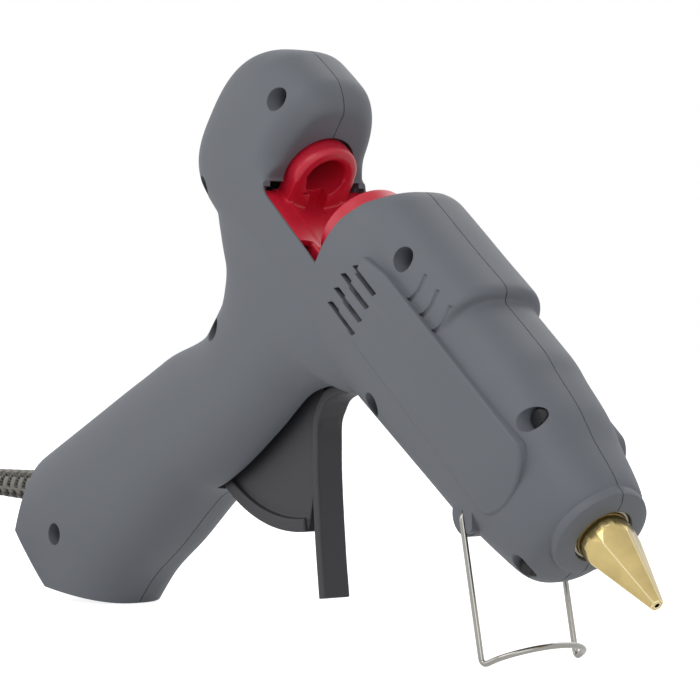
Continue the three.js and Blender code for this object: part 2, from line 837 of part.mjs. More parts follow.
const chamber = chamberBody.add(saddle);
const heaterTop = pocketTop - fit / 2;
const heaterHalf = heaterWidth / 2;
const heaterEnd = heaterX + heaterLength;
const heater = box(heaterX, heaterEnd, -heaterHalf, heaterHalf, heaterTop - heaterThickness, heaterTop);
const clipTop = heaterTop - heaterThickness - fit;
const clip = plate(
  [
    [heaterX, clipTop],
    [heaterEnd, clipTop],
    [heaterEnd + ribLength, clipTop - clipThickness],
    [heaterX, clipTop - clipThickness],
  ],
  -heaterWidth * 0.45,
  heaterWidth * 0.45,
);

// Rubber sleeve that lips over the chamber's spout, and the spring clamp round it
const spoutX = chamberRearX - spoutLength;
const sleeveRear = chamberRearX - sleeveLength + fit * 8;
const sleeveFront = chamberRearX - fit;
const sleeveOuter = spoutRadius + fit + sleeveWall;
const sleeve = turned(
  [
    [sleeveRear, sleeveOuter],
    [sleeveRear, sleeveOuter - sleeveWall / 2],
    [spoutX - sleeveWall * 2, stickBore - fit],
    [spoutX - fit, stickBore - fit],
    [spoutX - fit, spoutRadius + fit],
    [sleeveFront, spoutRadius + fit],
    [sleeveFront, sleeveOuter],
  ],
  20,
);
const clampRear = spoutX + fit;
const clampInner = sleeveOuter + fit;
const clamp = pipe(clampRear, clampRear + clampLength, clampInner, clampInner + clampWall, 20);

// Nozzle: spigot, round base and a hexagonal taper to the tip
const nozzleRearX = chamberFrontX + fit;
const nozzleTipX = noseX + nozzleLength - wall / 4;
const baseFrontX = collarFrontX + nozzleBaseLength / 2;
const valveX = spigotBoreX + fit + ballRadius * 2;
const nozzleRound = turned(
  [
    [spigotBoreX + fit, ballRadius + fit],
    [spigotBoreX + fit, spigotRadius],
    [nozzleRearX, spigotRadius],
    [nozzleRearX, nozzleBaseRadius],
    [baseFrontX, nozzleBaseRadius],
    [nozzleTipX, nozzleTipRadius],
    [nozzleTipX, orificeRadius],
    [nozzleTipX - nozzleTipRadius * 3, orificeRadius],
    [nozzleTipX - nozzleTipRadius * 6, ballRadius + fit],
  ],
  24,
);
function hexRing(x, acrossFlats) {
  const radius = acrossFlats / Math.cos(Math.PI / nozzleFlats);
  return Array.from({ length: nozzleFlats }, (_, k) => {
    const angle = (2 * Math.PI * k) / nozzleFlats + Math.PI / nozzleFlats;
    return new THREE.Vector3(x, radius * Math.cos(angle), radius * Math.sin(angle));
  });
}
const hexTaper = loft([
  hexRing(spigotBoreX, nozzleBaseRadius + wall),
  hexRing(baseFrontX - nozzleBaseLength / 2, nozzleBaseRadius + wall / 8),
  hexRing(nozzleTipX + fit, nozzleTipRadius * 0.93),
]);
const nozzle = nozzleRound.intersect(hexTaper);
const ball = solid(new THREE.IcosahedronGeometry(ballRadius, 1).translate(valveX - ballRadius, 0, 0));
const springTurns = 5;
function helix(from, to, radius, turns, steps = 8) {
  return Array.from({ length: turns * steps + 1 }, (_, i) => {
    const angle = (2 * Math.PI * i) / steps;
    const x = from + ((to - from) * i) / (turns * steps);
    return new THREE.Vector3(x, radius * Math.cos(angle), radius * Math.sin(angle));
  });
}
const springFrom = valveX + fit + springWire;
const springTo = nozzleTipX - nozzleTipRadius * 7;
const checkCoil = helix(springFrom, springTo, ballRadius - springWire, springTurns);
const checkSpring = sweptWire(checkCoil, springWire, 5);
const seal = pipe(
  noseX - wall + fit,
  noseX - wall + fit + sealLength,
  nozzleBaseRadius + fit,
  nozzleBaseRadius + fit + sealWall,
  24,
);

// Feeder: rear guide ring, trough, round guard, runners and the lugs that the trigger drives
const ringRear = ringX - ringLength / 2;
const ringFront = ringX + ringLength / 2;
const guardFrontX = guardRearX + guardLength;
const driveX = pivotX - (pivotDrop - drivePinDrop) * Math.tan(THREE.MathUtils.degToRad(triggerSweep / 2));
const softRim = ringLength * 0.28;
const ringTurned = turned(
  [
    [ringRear - tailTube, ringBore],
    [ringRear - tailTube, ringBore + guardWall],
    [ringRear, ringBore + guardWall],
    [ringRear, ringRadius],
    [ringFront - softRim, ringRadius],
    [ringFront - softRim * 0.3, ringRadius - softRim * 0.3],
    [ringFront, ringRadius - softRim],
    [ringFront, ringBore + softRim * 0.6],
    [ringFront - softRim * 0.5, ringBore],
  ],
  24,
);
const troughFront = guardRearX + guardWall * 3;
const trough = pipe(ringRear, troughFront, troughInner, troughOuter, 24)
  .intersect(box(ringRear, troughFront, -guardRadius, guardRadius, -guardRadius, -sill - fit));
const footHalf = ringRadius * 0.92;
const ringFoot = box(ringRear, ringFront, -footHalf, footHalf, -feederFloor, -fit)
  .subtract(rod(ringRear - fit, ringFront + fit, ringBore, 24));
const guard = pipe(guardRearX, guardFrontX, guardRadius - guardWall, guardRadius, 32);
const runners = [RIGHT, LEFT].map((side) => {
  const y0 = Math.min(side * runnerInner, side * runnerOuter);
  const y1 = y0 + runnerOuter - runnerInner;
  return box(ringFront + fit, guardFrontX, y0, y1, -guardRadius, -guardRadius * 0.58)
    .subtract(rod(ringFront, guardFrontX + fit, troughInner, 24));
});
const lugX0 = driveX - drivePinRadius - wall;
const lugX1 = driveX + drivePinRadius + wall;
const lugs = [RIGHT, LEFT].map((side) => {
  const y0 = Math.min(side * (lugHalf - lugWall), side * lugHalf);
  const low = -drivePinDrop - drivePinRadius - wall / 2;
  return box(lugX0, lugX1, y0, y0 + lugWall, low, -troughInner)
    .subtract(crossRod(driveX, -drivePinDrop, drivePinRadius + fit, -bodyHalf, bodyHalf, 12));
});
const gripperZ = -gripperPinDrop + fit;
const cheekHalf = gripperWidth / 2 + fit * 2;
const cheeks = [RIGHT, LEFT].map((side) => {
  const y0 = Math.min(side * cheekHalf, side * (cheekHalf + lugWall));
  const x0 = gripperPinX - lugWall;
  const top = -gripperPinDrop + gripperPinRadius * 2;
  return box(x0, x0 + lugWall * 2, y0, y0 + lugWall, -guardRadius + fit, top)
    .subtract(crossRod(gripperPinX, gripperZ, gripperPinRadius + fit, -bodyHalf, bodyHalf, 12));
});
const [jawRear, jawFront] = [gripperPinX - jawReach * 1.5, gripperPinX + jawReach];
const pinReach = cheekHalf + lugWall * 1.5;
const jawMouth = box(jawRear, jawFront, -cheekHalf, cheekHalf, -guardRadius - fit, -ringBore)
  .add(crossRod(gripperPinX, gripperZ, gripperPinRadius + fit, -pinReach, pinReach, 12));
const carriageParts = [ringTurned, trough, ringFoot, guard, ...runners, ...lugs, ...cheeks];
const carriage = join(carriageParts).subtract(jawMouth);
const drivePin = crossRod(driveX, -drivePinDrop, drivePinRadius, -lugHalf - fit, lugHalf + fit, 12);
const pinHalf = cheekHalf + lugWall;
const gripperPin = crossRod(gripperPinX, gripperZ, gripperPinRadius, -pinHalf, pinHalf, 10);

// Gripper: a toothed jaw under the stick
const toothCount = 4;
function gripperOutline() {
  const top = -ringBore - fit;
  const low = gripperZ - gripperPinRadius - fit;
  const outline = [
    [gripperPinX + jawReach * 0.6, top - guardWall],
    [gripperPinX + jawReach * 0.4, top - fit],
  ];
  for (let i = 0; i < toothCount; i += 1) {
    const x = gripperPinX - (jawReach * i) / toothCount;
    outline.push([x, top], [x - jawReach / toothCount / 2, top - fit * 2]);
  }
  outline.push([gripperPinX - jawReach, top - guardWall]);
  outline.push([gripperPinX - gripperPinRadius * 2, low + fit]);
  outline.push([gripperPinX + gripperPinRadius * 2, low + fit]);
  return outline;
}
const gripper = plate(gripperOutline(), -gripperWidth / 2, gripperWidth / 2)
  .subtract(crossRod(gripperPinX, gripperZ, gripperPinRadius + fit, -bodyHalf, bodyHalf, 12));

// Trigger: hub, drive arm, thin web, rimmed sector and a finger blade
const bladeShares = [
  [0.5556, -0.1111],
  [0.4556, 0.0085],
  [0.4222, 0.1026],
  [0.4278, 0.2051],
  [0.5167, 0.3675],
  [0.8111, 0.7692],
  [1, 1],
];
const bladeFront = bladeShares.map(([x, z]) => [pivotX + x * bladeReachX, pivotZ - z * bladeReachZ]);
function thickened(points, thickness) {
  const behind = points.map(([x, z], i) => {
    const [ax, az] = points[Math.max(i - 1, 0)];
    const [bx, bz] = points[Math.min(i + 1, points.length - 1)];
    const length = Math.hypot(bx - ax, bz - az);
    return [x + ((bz - az) / length) * thickness, z - ((bx - ax) / length) * thickness];
  });
  return [...points, ...behind.reverse()];
}
const armLean = THREE.MathUtils.degToRad(triggerSweep / 2);
const armTop = (pivotDrop - drivePinDrop) * 1.09;
const armSlotFrom = (pivotDrop - drivePinDrop) * 0.85;
const onArm = (across, along) => [
  pivotX + across * Math.cos(armLean) - along * Math.sin(armLean),
  pivotZ + across * Math.sin(armLean) + along * Math.cos(armLean),
];
const armHalf = drivePinRadius + fit + ribLength;
const forkHalf = drivePinRadius + fit;
const arm = plate(
  [
    onArm(armHalf, 0),
    onArm(armHalf, armTop),
    onArm(forkHalf, armTop),
    onArm(forkHalf, armSlotFrom),
    onArm(-forkHalf, armSlotFrom),
    onArm(-forkHalf, armTop),
    onArm(-armHalf, armTop),
    onArm(-armHalf, 0),
  ],
  -armWidth,
  armWidth,
);
const sectorOutline = [
  ...arc(sectorRadius, sectorRearAngle, bladeCrossAngle, 14),
  bladeFront[3],
  bladeFront[2],
  pivotAt(hubRadius * 0.9, 40),
  pivotAt(hubRadius, 180),
];
const rimOutline = [
  ...arc(sectorRadius, sectorRearAngle, bladeCrossAngle, 14),
  ...arc(sectorRadius - sectorRim, sectorRearAngle, bladeCrossAngle, 14).reverse(),
];
const rearRib = [
  pivotAt(hubRadius, 180),
  pivotAt(sectorRadius, sectorRearAngle),
  pivotAt(sectorRadius, sectorRearAngle + rearRibAngle),
  pivotAt(hubRadius, -60),
];
const springPegAlong = (pivotDrop - drivePinDrop) * 0.6;
const [pegX, pegZ] = onArm(0, springPegAlong);
const trigger = join([
  crossRod(pivotX, pivotZ, hubRadius, -rimHalf, rimHalf, 20),
  plate(sectorOutline, -webHalf, webHalf),
  plate(rimOutline, -rimHalf, rimHalf),
  plate(rearRib, -rimHalf, rimHalf),
  plate(thickened(bladeFront, bladeThickness), -rimHalf, rimHalf),
  arm,
  crossRod(pegX, pegZ, pegRadius, armWidth - fit, springLane + ribLength, 12),
]).subtract(crossRod(pivotX, pivotZ, pivotRadius + fit, -bodyHalf, bodyHalf, 16));
const pivotHalf = bodyHalf - wall - fit * 2;
const pivotPin = crossRod(pivotX, pivotZ, pivotRadius, -pivotHalf, pivotHalf, 16);

// Return spring: hooked from the arm's peg to a peg in the hump
const returnTurns = 9;
const hookRadius = pegRadius + returnWire * 1.7;
const anchorX = tailX + humpLength * 0.54;
function hook(x, side, steps = 8) {
  const sweep = Math.PI * 1.5;
  return Array.from({ length: steps + 1 }, (_, i) => {
    const angle = (side * sweep * i) / steps - Math.PI / 2;
    const up = pegZ + hookRadius * Math.sin(angle);
    return new THREE.Vector3(x + hookRadius * Math.cos(angle), springLane, up);
  });
}
const coilFrom = anchorX + hookRadius * 2;
const coilTo = pegX - hookRadius * 2;
const returnCoil = helix(coilFrom, coilTo, returnRadius, returnTurns).map(
  (p) => new THREE.Vector3(p.x, springLane + p.z, pegZ - p.y),
);
const rearHook = hook(anchorX, -1).reverse();
const frontHook = hook(pegX, 1);
const returnSpring = sweptWire([...rearHook, ...returnCoil, ...frontHook], returnWire, 5);
const anchorPeg = crossRod(anchorX, pegZ, pegRadius, springLane - ribLength, bodyHalf, 12);

// Wire stand: two inner ends, two legs and a bow that rises forward between the feet
function standPoints() {
  const side = (half, sign) => [
    new THREE.Vector3(standX, sign * (standLugHalf - standSocket), -standDrop),
    new THREE.Vector3(standX, sign * half, -standDrop),
    new THREE.Vector3(foot[0], sign * half, foot[1]),
  ];
  const rise = new THREE.Vector3(Math.sin(lean) * 0.45, 0, Math.cos(lean)).normalize();
  const bow = [];
  const bowSteps = 9;
  for (let i = 1; i < bowSteps; i += 1) {
    const share = i / bowSteps;
    const height = bowRise * Math.sin(Math.PI * share) ** 0.8;
    const y = standHalf * (1 - 2 * share);
    bow.push(new THREE.Vector3(foot[0], y, foot[1]).addScaledVector(rise, height));
  }
  return [...side(standHalf, 1), ...bow, ...side(standHalf, -1).reverse()];
}
const stand = sweptWire(softened(standPoints(), footBend, 3), standWire, 6);

// Strain relief: a flanged root in the butt's wall and a tapered, ribbed tail
const across = new THREE.Vector3(-levelBack.z, 0, levelBack.x);
const onCord = (along, up) => {
  const p = entry.clone().addScaledVector(levelBack, along).addScaledVector(across, up);
  return [p.x, p.z];
};
const reliefInner = -wall * 2 - ribLength * 2;
function reliefProfile() {
  const profile = [
    [reliefInner, cordRadius + fit],
    [reliefInner, reliefRootRadius],
    [reliefInner + ribLength, reliefRootRadius],
    [reliefInner + ribLength, reliefFlange],
    [reliefInner + ribLength * 2, reliefFlange],
    [reliefInner + ribLength * 2, reliefRootRadius],
  ];
  const pitch = reliefLength / (reliefRibs + 0.6);
  const taper = (reliefTipRadius - reliefRootRadius) / reliefLength;
  const outerAt = (along) => reliefRootRadius + taper * along;
  for (let i = 0; i < reliefRibs; i += 1) {
    const start = pitch * (i + 0.6);
    const grooved = outerAt(start) * 0.86;
    profile.push([start, outerAt(start)], [start + pitch * 0.1, grooved]);
    profile.push([start + pitch * 0.4, grooved], [start + pitch * 0.5, outerAt(start + pitch / 2)]);
  }
  profile.push([reliefLength, reliefTipRadius], [reliefLength, 0], [-wall, 0], [-wall, cordRadius + fit]);
  return profile;
}
const relief = turned(reliefProfile(), 12, levelBack, entry);

// Inside the butt: the cord's end, its clamp with two screws, and the terminal block
const tailInner = -tailReach;
const cordTail = rod(tailInner, -wall - fit, cordRadius, 12, levelBack, entry);
const clampFrom = -clampBack;
const clampOutline = (grow) => [
  onCord(clampFrom - grow, -clampReach),
  onCord(clampFrom + clampBar + grow, -clampReach),
  onCord(clampFrom + clampBar + grow, clampReach),
  onCord(clampFrom - grow, clampReach),
];
const clampFace = -cordRadius - fit;
const clampScrewAt = [-1, 1].map((sign) => onCord(clampFrom + clampBar / 2, sign * clampReach * 0.68));
const clampHole = clampScrewAt.map(([x, z]) =>
  crossRod(x, z, shankRadius + fit, -bodyHalf, cordRadius + ribLength * 2, 10),
);
const cordClamp = cutAll(plate(clampOutline(0), clampFace - clampBarThickness, clampFace), clampHole);
const clampSeat = plate(clampOutline(0), cordRadius + fit, bodyHalf);
const clampScrew = ([x, z]) =>
  turned(
    [
      [clampFace - clampBarThickness - headHeight - fit, 0],
      [clampFace - clampBarThickness - headHeight - fit, headRadius],
      [clampFace - clampBarThickness - fit, headRadius],
      [clampFace - clampBarThickness - fit, shankRadius],
      [cordRadius + ribLength, shankRadius],
      [cordRadius + ribLength, 0],
    ],
    10,
    ALONG_Y,
    new THREE.Vector3(x, 0, z),
  );
const blockFront = tailInner - fit - blockLength;
const blockOutline = [
  onCord(tailInner - fit, -blockHalfHeight),
  onCord(blockFront, -blockHalfHeight),
  onCord(blockFront, blockHalfHeight),
  onCord(tailInner - fit, blockHalfHeight),
];
const terminalHoles = [-1, 1].map((sign) => {
  const [x, z] = onCord(blockFront + blockLength / 2, 0);
  const y = sign * blockHalfWidth * 0.5;
  return box(x - shankRadius, x + shankRadius, y - shankRadius, y + shankRadius, z, z + blockLength);
});
const blockPlate = plate(blockOutline, -blockHalfWidth, blockHalfWidth, headHeight / 4, 1);
const terminalBlock = cutAll(blockPlate, terminalHoles);
const blockSeat = plate(blockOutline, blockHalfWidth + fit, bodyHalf);

// The two heater leads, from the block up the handle, behind the pivot and along the belly to the heater
// Its stations: shares of the neck's width forward, of the neck's depth down and of the half width across
const leadShares = [
  [-0.489, 2.034, 0.435],
  [-0.333, 1.638, 0.598],
  [-0.244, 1.207, 0.652],
  [-0.2, 0.828, 0.652],
  [-0.044, 0.629, 0.652],
  [0.222, 0.534, 0.652],
  [0.489, 0.431, 0.598],
  [0.889, 0.345, 0.489],
  [1.244, 0.283, 0.326],
  [1.511, 0.266, 0.293],
];
function lead(sign) {
  const fromBlock = (distance, share) =>
    entry.clone().addScaledVector(levelBack, blockFront - distance).setY(sign * blockHalfWidth * share);
  const route = leadShares.map(
    ([x, z, y]) => new THREE.Vector3(x * neckWidth, sign * y * leadSpread, -z * neckDepth),
  );
  const points = [fromBlock(fit, 0.5), fromBlock(fit + leadRadius * 4, 0.55), ...route];
  const level = heaterTop - heaterThickness / 2;
  points.push(new THREE.Vector3(heaterX - fit - leadRadius * 4, sign * heaterWidth * 0.25, level));
  points.push(new THREE.Vector3(heaterX - fit, sign * heaterWidth * 0.25, level));
  const curve = new THREE.CatmullRomCurve3(points, false, "centripetal");
  return sweptWire(curve.getSpacedPoints(24), leadRadius, 6);
}

// Housing halves
const seats = join([clampSeat, blockSeat, anchorPeg]).intersect(core);
const opened = cutAll(skin.subtract(cavity).add(inside), mouths);
const openShell = opened.add(join(bosses).intersect(core)).add(seats);
const housing = cutAll(openShell, [
  ...counterbores,
  ...screwHoles,
  ...clampHole,
  pivotHole,
  standHoles,
  ...vents(RIGHT),
  ...vents(LEFT),
  ...grooves(RIGHT),
  ...grooves(LEFT),
]);
const reach = 2 * (buttDepth + frontLength);
const rightHousing = housing.intersect(box(-reach, reach, -reach, -partingGap / 2, -reach, reach));
const leftHousing = housing.intersect(box(-reach, reach, partingGap / 2, reach, -reach, reach));

// Cord, in the standing frame: level out of the relief and down beside the hank it is folded into
const [exitX, exitZ] = toStood(entry.x, entry.z);
const cordStartX = exitX - reliefLength - fit;
const hankOuter = foldRadius + hankPitch * layerTurns;
const hankX = cordStartX - hankLead - hankRun / 2;
const foldMean = (foldRadius + hankOuter) / 2;
const loopLength = 2 * hankRun + 2 * Math.PI * foldMean;
const halfRunShare = hankRun / 2 / loopLength;
const hankY = bodyHalf + padProud - hankOuter - hankPitch * halfRunShare - cordRadius;
const foldShare = (Math.PI * foldMean) / loopLength;
const waistReach = hankRun / 2;
const tieLift = fit / 2 + tieThickness + fit;

// The waist where the tie is: none of it at the folds, the whole of it in the middle
function waistAt(along) {
  if (Math.abs(along) > waistReach) return 0;
  return Math.cos((Math.PI * along) / (2 * waistReach)) ** 2;
}

// A place on a loop: backwards along one side, round the far fold, back along the other and round the near one
function onLoop(turn, radius) {
  const backFold = turn - halfRunShare;
  const otherRun = backFold - foldShare;
  const nearFold = otherRun - 2 * halfRunShare;
  const lastRun = nearFold - foldShare;
  if (backFold < 0) return [turn * loopLength, radius];
  if (otherRun < 0) {
    const angle = (Math.PI * backFold) / foldShare;
    return [hankRun / 2 + radius * Math.sin(angle), radius * Math.cos(angle)];
  }
  if (nearFold < 0) return [hankRun / 2 - otherRun * loopLength, -radius];
  if (lastRun < 0) {
    const angle = (Math.PI * nearFold) / foldShare;
    return [-hankRun / 2 - radius * Math.sin(angle), -radius * Math.cos(angle)];
  }
  return [lastRun * loopLength - hankRun / 2, radius];
}

// Each layer spirals in or out by turns, and the climb to the next one lies along a run
function hankPoint(turns) {
  const layer = turns / layerTurns;
  const whole = Math.min(Math.max(Math.floor(layer), 0), hankLayers - 1);
  const inwards = whole % 2 === 0 ? layer - whole : whole + 1 - layer;
  const radius = hankOuter - hankPitch * layerTurns * inwards;
  const nearest = Math.round(layer);
  const off = (layer - nearest) * layerTurns;
  const climbing = nearest > 0 && nearest < hankLayers && Math.abs(off) < halfRunShare;
  const eased = (1 - Math.cos(Math.PI * (off / (2 * halfRunShare) + 0.5))) / 2;
  const step = climbing ? nearest - 1 + eased : whole;
  const [along, aside] = onLoop(turns - Math.floor(turns), radius);
  const drawn = aside - Math.sign(aside) * hankWaist * waistAt(along);
  const z = cordRadius + (hankLayers - 1 - step) * layerPitch + tieLift * waistAt(along);
  return new THREE.Vector3(hankX - along, hankY + drawn, z);
}

// A bend aside between two level straights, as two equal arcs
function sideStep(from, to, steps) {
  const aside = to.clone().sub(from).setX(0);
  const [run, shift] = [Math.abs(to.x - from.x), aside.length()];
  const radius = (run ** 2 + shift ** 2) / (4 * shift);
  const arcAt = (x) => radius - Math.sqrt(radius ** 2 - x ** 2);
  return Array.from({ length: steps + 1 }, (_, i) => {
    const share = i / steps;
    const moved = share < 0.5 ? arcAt(share * run) : shift - arcAt((1 - share) * run);
    const point = from.clone().addScaledVector(aside, moved / shift);
    return point.setX(from.x + (to.x - from.x) * share);
  });
}

const hankSteps = 24;
const straight = new THREE.Vector3(2 * cordRadius, 0, 0);
const lastTurn = hankTurns + halfRunShare;
const hankPath = [];
for (let turn = -halfRunShare; turn < lastTurn; turn += 1 / hankSteps) hankPath.push(hankPoint(turn));
const hankStart = hankPath[0].clone().add(straight);
const tailStart = hankPoint(lastTurn);
const plugX = tailStart.x + plugRun;
const plugY = hankY - hankOuter + hankPitch / 2 - cordRadius + plugWidth;
const tailLevel = new THREE.Vector3(plugX - fit, plugY, plugHalf);
const tail = sideStep(tailStart, tailLevel.clone().sub(straight), 4);
const cordPath = [hankStart, ...hankPath, ...tail, tailLevel];
const cordHank = sweptWire(cordPath, cordRadius, 6);
const leadStart = new THREE.Vector3(cordStartX, 0, exitZ);
const leadEnd = hankStart.clone().add(new THREE.Vector3(fit, 0, 0));
const leadBend = sideStep(leadStart.clone().sub(straight), leadEnd.clone().add(straight), 8);
const cordLead = sweptWire([leadStart, ...leadBend, leadEnd], cordRadius, 10);

// The hank's least gap to itself, between places more than a third of a loop apart
function leastGap(path, steps) {
  let least = Infinity;
  path.forEach((a, i) => {
    for (let j = i + Math.round(steps / 3); j < path.length; j += 1) {
      least = Math.min(least, a.distanceTo(path[j]));
    }
  });
  return least - 2 * cordRadius;
}
console.log("hank's least gap to itself", leastGap(cordPath, hankSteps).toFixed(2), "mm");

// The strap that ties the hank at its waist
const tieLeft = hankOuter - hankWaist * 0.9 + cordRadius + fit;
const tieRight = tieLeft - hankPitch / 2;
const tieTop = tieLift + cordRadius * 2 + (hankLayers - 1) * layerPitch + fit;
const tieFloor = tieLift - fit;
function tieOutline(x, grow, steps = 4) {
  const [left, right, low, high] = [tieLeft + grow, -tieRight - grow, tieFloor - grow, tieTop + grow];
  const round = cordRadius + grow;
  const centres = [
    [left - round, high - round],
    [right + round, high - round],
    [right + round, low + round],
    [left - round, low + round],
  ];
  return centres.flatMap(([y, z], quarter) =>
    Array.from({ length: steps + 1 }, (_, i) => {
      const angle = ((quarter + i / steps) * Math.PI) / 2;
      return new THREE.Vector3(x, y + round * Math.cos(angle), z + round * Math.sin(angle));
    }),
  );
}
const tieBand = (half, grow) => loft([tieOutline(-half, grow), tieOutline(half, grow)]);
const tieStrap = tieBand(tieWidth / 2, tieThickness)
  .subtract(tieBand(tieWidth, 0))
  .translate([hankX, hankY, 0]);

// Flat two-pin plug, on the floor beside the hank
const plugShares = [
  [0, 0.72, 0.3],
  [0.2, 0.85, 0.36],
  [0.32, 1, 0.55],
  [0.62, 1, 0.92],
  [0.97, 1, 1],
  [1, 0.94, 0.96],
];
const plugBody = loft(
  plugShares.map(([along, thick, wide]) => {
    const [top, bottom] = [plugHalf * (1 + thick), plugHalf * (1 - thick)];
    return oval(plugX + along * plugLength, top, bottom, plugWidth * wide, bodyFullness, 20);
  }),
).translate([0, tailLevel.y, 0]);
const plugPin = (sign) =>
  turned(
    [
      [plugLength + fit, 0],
      [plugLength + fit, plugPinRadius],
      [plugLength + plugPinLength - plugPinRadius / 2, plugPinRadius],
      [plugLength + plugPinLength, plugPinRadius / 2],
      [plugLength + plugPinLength, 0],
    ],
    12,
    ALONG_X,
    new THREE.Vector3(plugX, tailLevel.y + (sign * plugPinPitch) / 2, plugHalf),
  );

// Materials and nodes
const finish = (color, roughness, metalness) =>
  new THREE.MeshStandardMaterial({ color, roughness, metalness, flatShading: true });
const materials = {
  housing: finish(0x6c7074, 0.62, 0),
  feeder: finish(0xd7193a, 0.4, 0),
  trigger: finish(0x3a3a3c, 0.55, 0),
  brass: finish(0xd6c480, 0.28, 1),
  steel: finish(0xb9bbbe, 0.25, 1),
  castAluminium: finish(0xa7abb0, 0.5, 1),
  silicone: finish(0xd9d6cc, 0.7, 0),
  ceramic: finish(0xe6e1d6, 0.8, 0),
  cord: finish(0x4b4c4e, 0.6, 0),
};
const gun = new THREE.Group();
const standing = new THREE.Group();
function node(group, name, made, material) {
  const mesh = new THREE.Mesh(geometryOf(made), material);
  mesh.name = name;
  group.add(mesh);
}
node(gun, "right_housing", rightHousing, materials.housing);
node(gun, "left_housing", leftHousing, materials.housing);
screwPlaces.forEach((place, i) => node(gun, `housing_screw_${i + 1}`, screw(place), materials.steel));
node(gun, "nozzle", nozzle, materials.brass);
node(gun, "nozzle_seal", seal, materials.silicone);
node(gun, "check_ball", ball, materials.steel);
node(gun, "check_spring", checkSpring, materials.steel);
node(gun, "melt_chamber", chamber, materials.castAluminium);
node(gun, "heater_element", heater, materials.ceramic);
node(gun, "heater_clip", clip, materials.steel);
node(gun, "inlet_sleeve", sleeve, materials.silicone);
node(gun, "sleeve_clamp", clamp, materials.steel);
node(gun, "feed_carriage", carriage, materials.feeder);
node(gun, "drive_pin", drivePin, materials.steel);
node(gun, "gripper_lever", gripper, materials.steel);
node(gun, "gripper_pin", gripperPin, materials.steel);
node(gun, "trigger", trigger, materials.trigger);
node(gun, "trigger_pivot", pivotPin, materials.steel);
node(gun, "return_spring", returnSpring, materials.steel);
node(gun, "wire_stand", stand, materials.steel);
node(gun, "strain_relief", relief, materials.cord);
node(gun, "cord_tail", cordTail, materials.cord);
node(gun, "cord_clamp", cordClamp, materials.steel);
clampScrewAt.forEach((place, i) => node(gun, `clamp_screw_${i + 1}`, clampScrew(place), materials.steel));
node(gun, "terminal_block", terminalBlock, materials.ceramic);
[RIGHT, LEFT].forEach((side, i) => node(gun, `heater_lead_${i + 1}`, lead(side), materials.silicone));
node(standing, "cord_lead", cordLead, materials.cord);
node(standing, "cord_hank", cordHank, materials.cord);
node(standing, "cord_tie", tieStrap, materials.cord);
node(standing, "plug_body", plugBody, materials.cord);
[RIGHT, LEFT].forEach((side, i) => node(standing, `plug_pin_${i + 1}`, plugPin(side), materials.brass));

// Stood up on butt and stand, with the gun's middle over the origin
gun.rotation.y = tilt;
gun.position.z = heelHeight;
gun.updateMatrixWorld(true);
const stood = new THREE.Box3().setFromObject(gun, true);
const middleX = (stood.min.x + stood.max.x) / 2;
gun.position.x = -middleX;
gun.position.z -= stood.min.z;
standing.position.x = -middleX;

const root = new THREE.Group();
root.name = "glue_gun";
root.add(gun, standing);
const placed = (x, z) => {
  const [stoodX, stoodZ] = toStood(x, z);
  return [stoodX - middleX, stoodZ - stood.min.z];
};
root.userData = {
  tilt,
  middleX,
  pivots: {
    trigger: placed(pivotX, pivotZ),
    gripper: placed(gripperPinX, gripperZ),
    stand: placed(standX, -standDrop),
  },
  springAnchor: placed(anchorX, pegZ),
  feedPerRadian: ((pivotDrop - drivePinDrop) * Math.tan(armLean)) / armLean,
};
export default root;
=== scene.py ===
import json
import math

import bmesh
import bpy
from mathutils import Matrix, Vector


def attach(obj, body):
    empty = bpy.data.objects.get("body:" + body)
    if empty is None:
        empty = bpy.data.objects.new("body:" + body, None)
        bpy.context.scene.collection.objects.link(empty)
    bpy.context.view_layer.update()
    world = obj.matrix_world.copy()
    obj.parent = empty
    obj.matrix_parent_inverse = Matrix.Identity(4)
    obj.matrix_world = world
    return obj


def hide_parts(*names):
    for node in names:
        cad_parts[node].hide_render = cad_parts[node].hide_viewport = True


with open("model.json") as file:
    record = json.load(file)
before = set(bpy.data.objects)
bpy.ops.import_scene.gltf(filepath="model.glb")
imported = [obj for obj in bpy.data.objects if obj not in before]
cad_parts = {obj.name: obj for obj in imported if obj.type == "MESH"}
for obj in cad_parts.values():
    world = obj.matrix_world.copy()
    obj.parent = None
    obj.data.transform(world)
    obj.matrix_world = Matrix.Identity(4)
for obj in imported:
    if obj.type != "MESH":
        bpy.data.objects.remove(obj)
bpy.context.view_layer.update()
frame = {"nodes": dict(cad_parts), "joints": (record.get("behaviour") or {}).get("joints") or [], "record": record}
joints = {j["name"]: j for j in frame["joints"]}

# The barrel frame of the CAD source: millimetres, x along the stick axis, z square to it, y to the left.
# The trigger's pivot and the feeder's slide axis say how it is stood up in the row frame.
PIVOT_X, PIVOT_Z = 4.0, -42.0
COS, SIN = joints["feed_slide"]["axis"][0], -joints["feed_slide"]["axis"][2]
PIVOT = joints["trigger_pull"]["pos_m"]
MM = 0.001
STAND_UP = Matrix((
    (COS * MM, 0, SIN * MM, PIVOT[0] - (PIVOT_X * COS + PIVOT_Z * SIN) * MM),
    (0, MM, 0, 0),
    (-SIN * MM, 0, COS * MM, PIVOT[2] - (-PIVOT_X * SIN + PIVOT_Z * COS) * MM),
    (0, 0, 0, 1),
))


def stood(x, y, z):
    return STAND_UP @ Vector((x, y, z))


def placed(name, data):
    obj = bpy.data.objects.new(name, data)
    bpy.context.scene.collection.objects.link(obj)
    return obj


# Camera, at the photograph's angle
SENSOR_MM, FOCAL_PX, IMAGE_PX = 36, 3000, 700
AZIMUTH, ELEVATION, DISTANCE, UNDER_AXIS = math.radians(53.5), math.radians(1.0), 0.8571, 0.0397


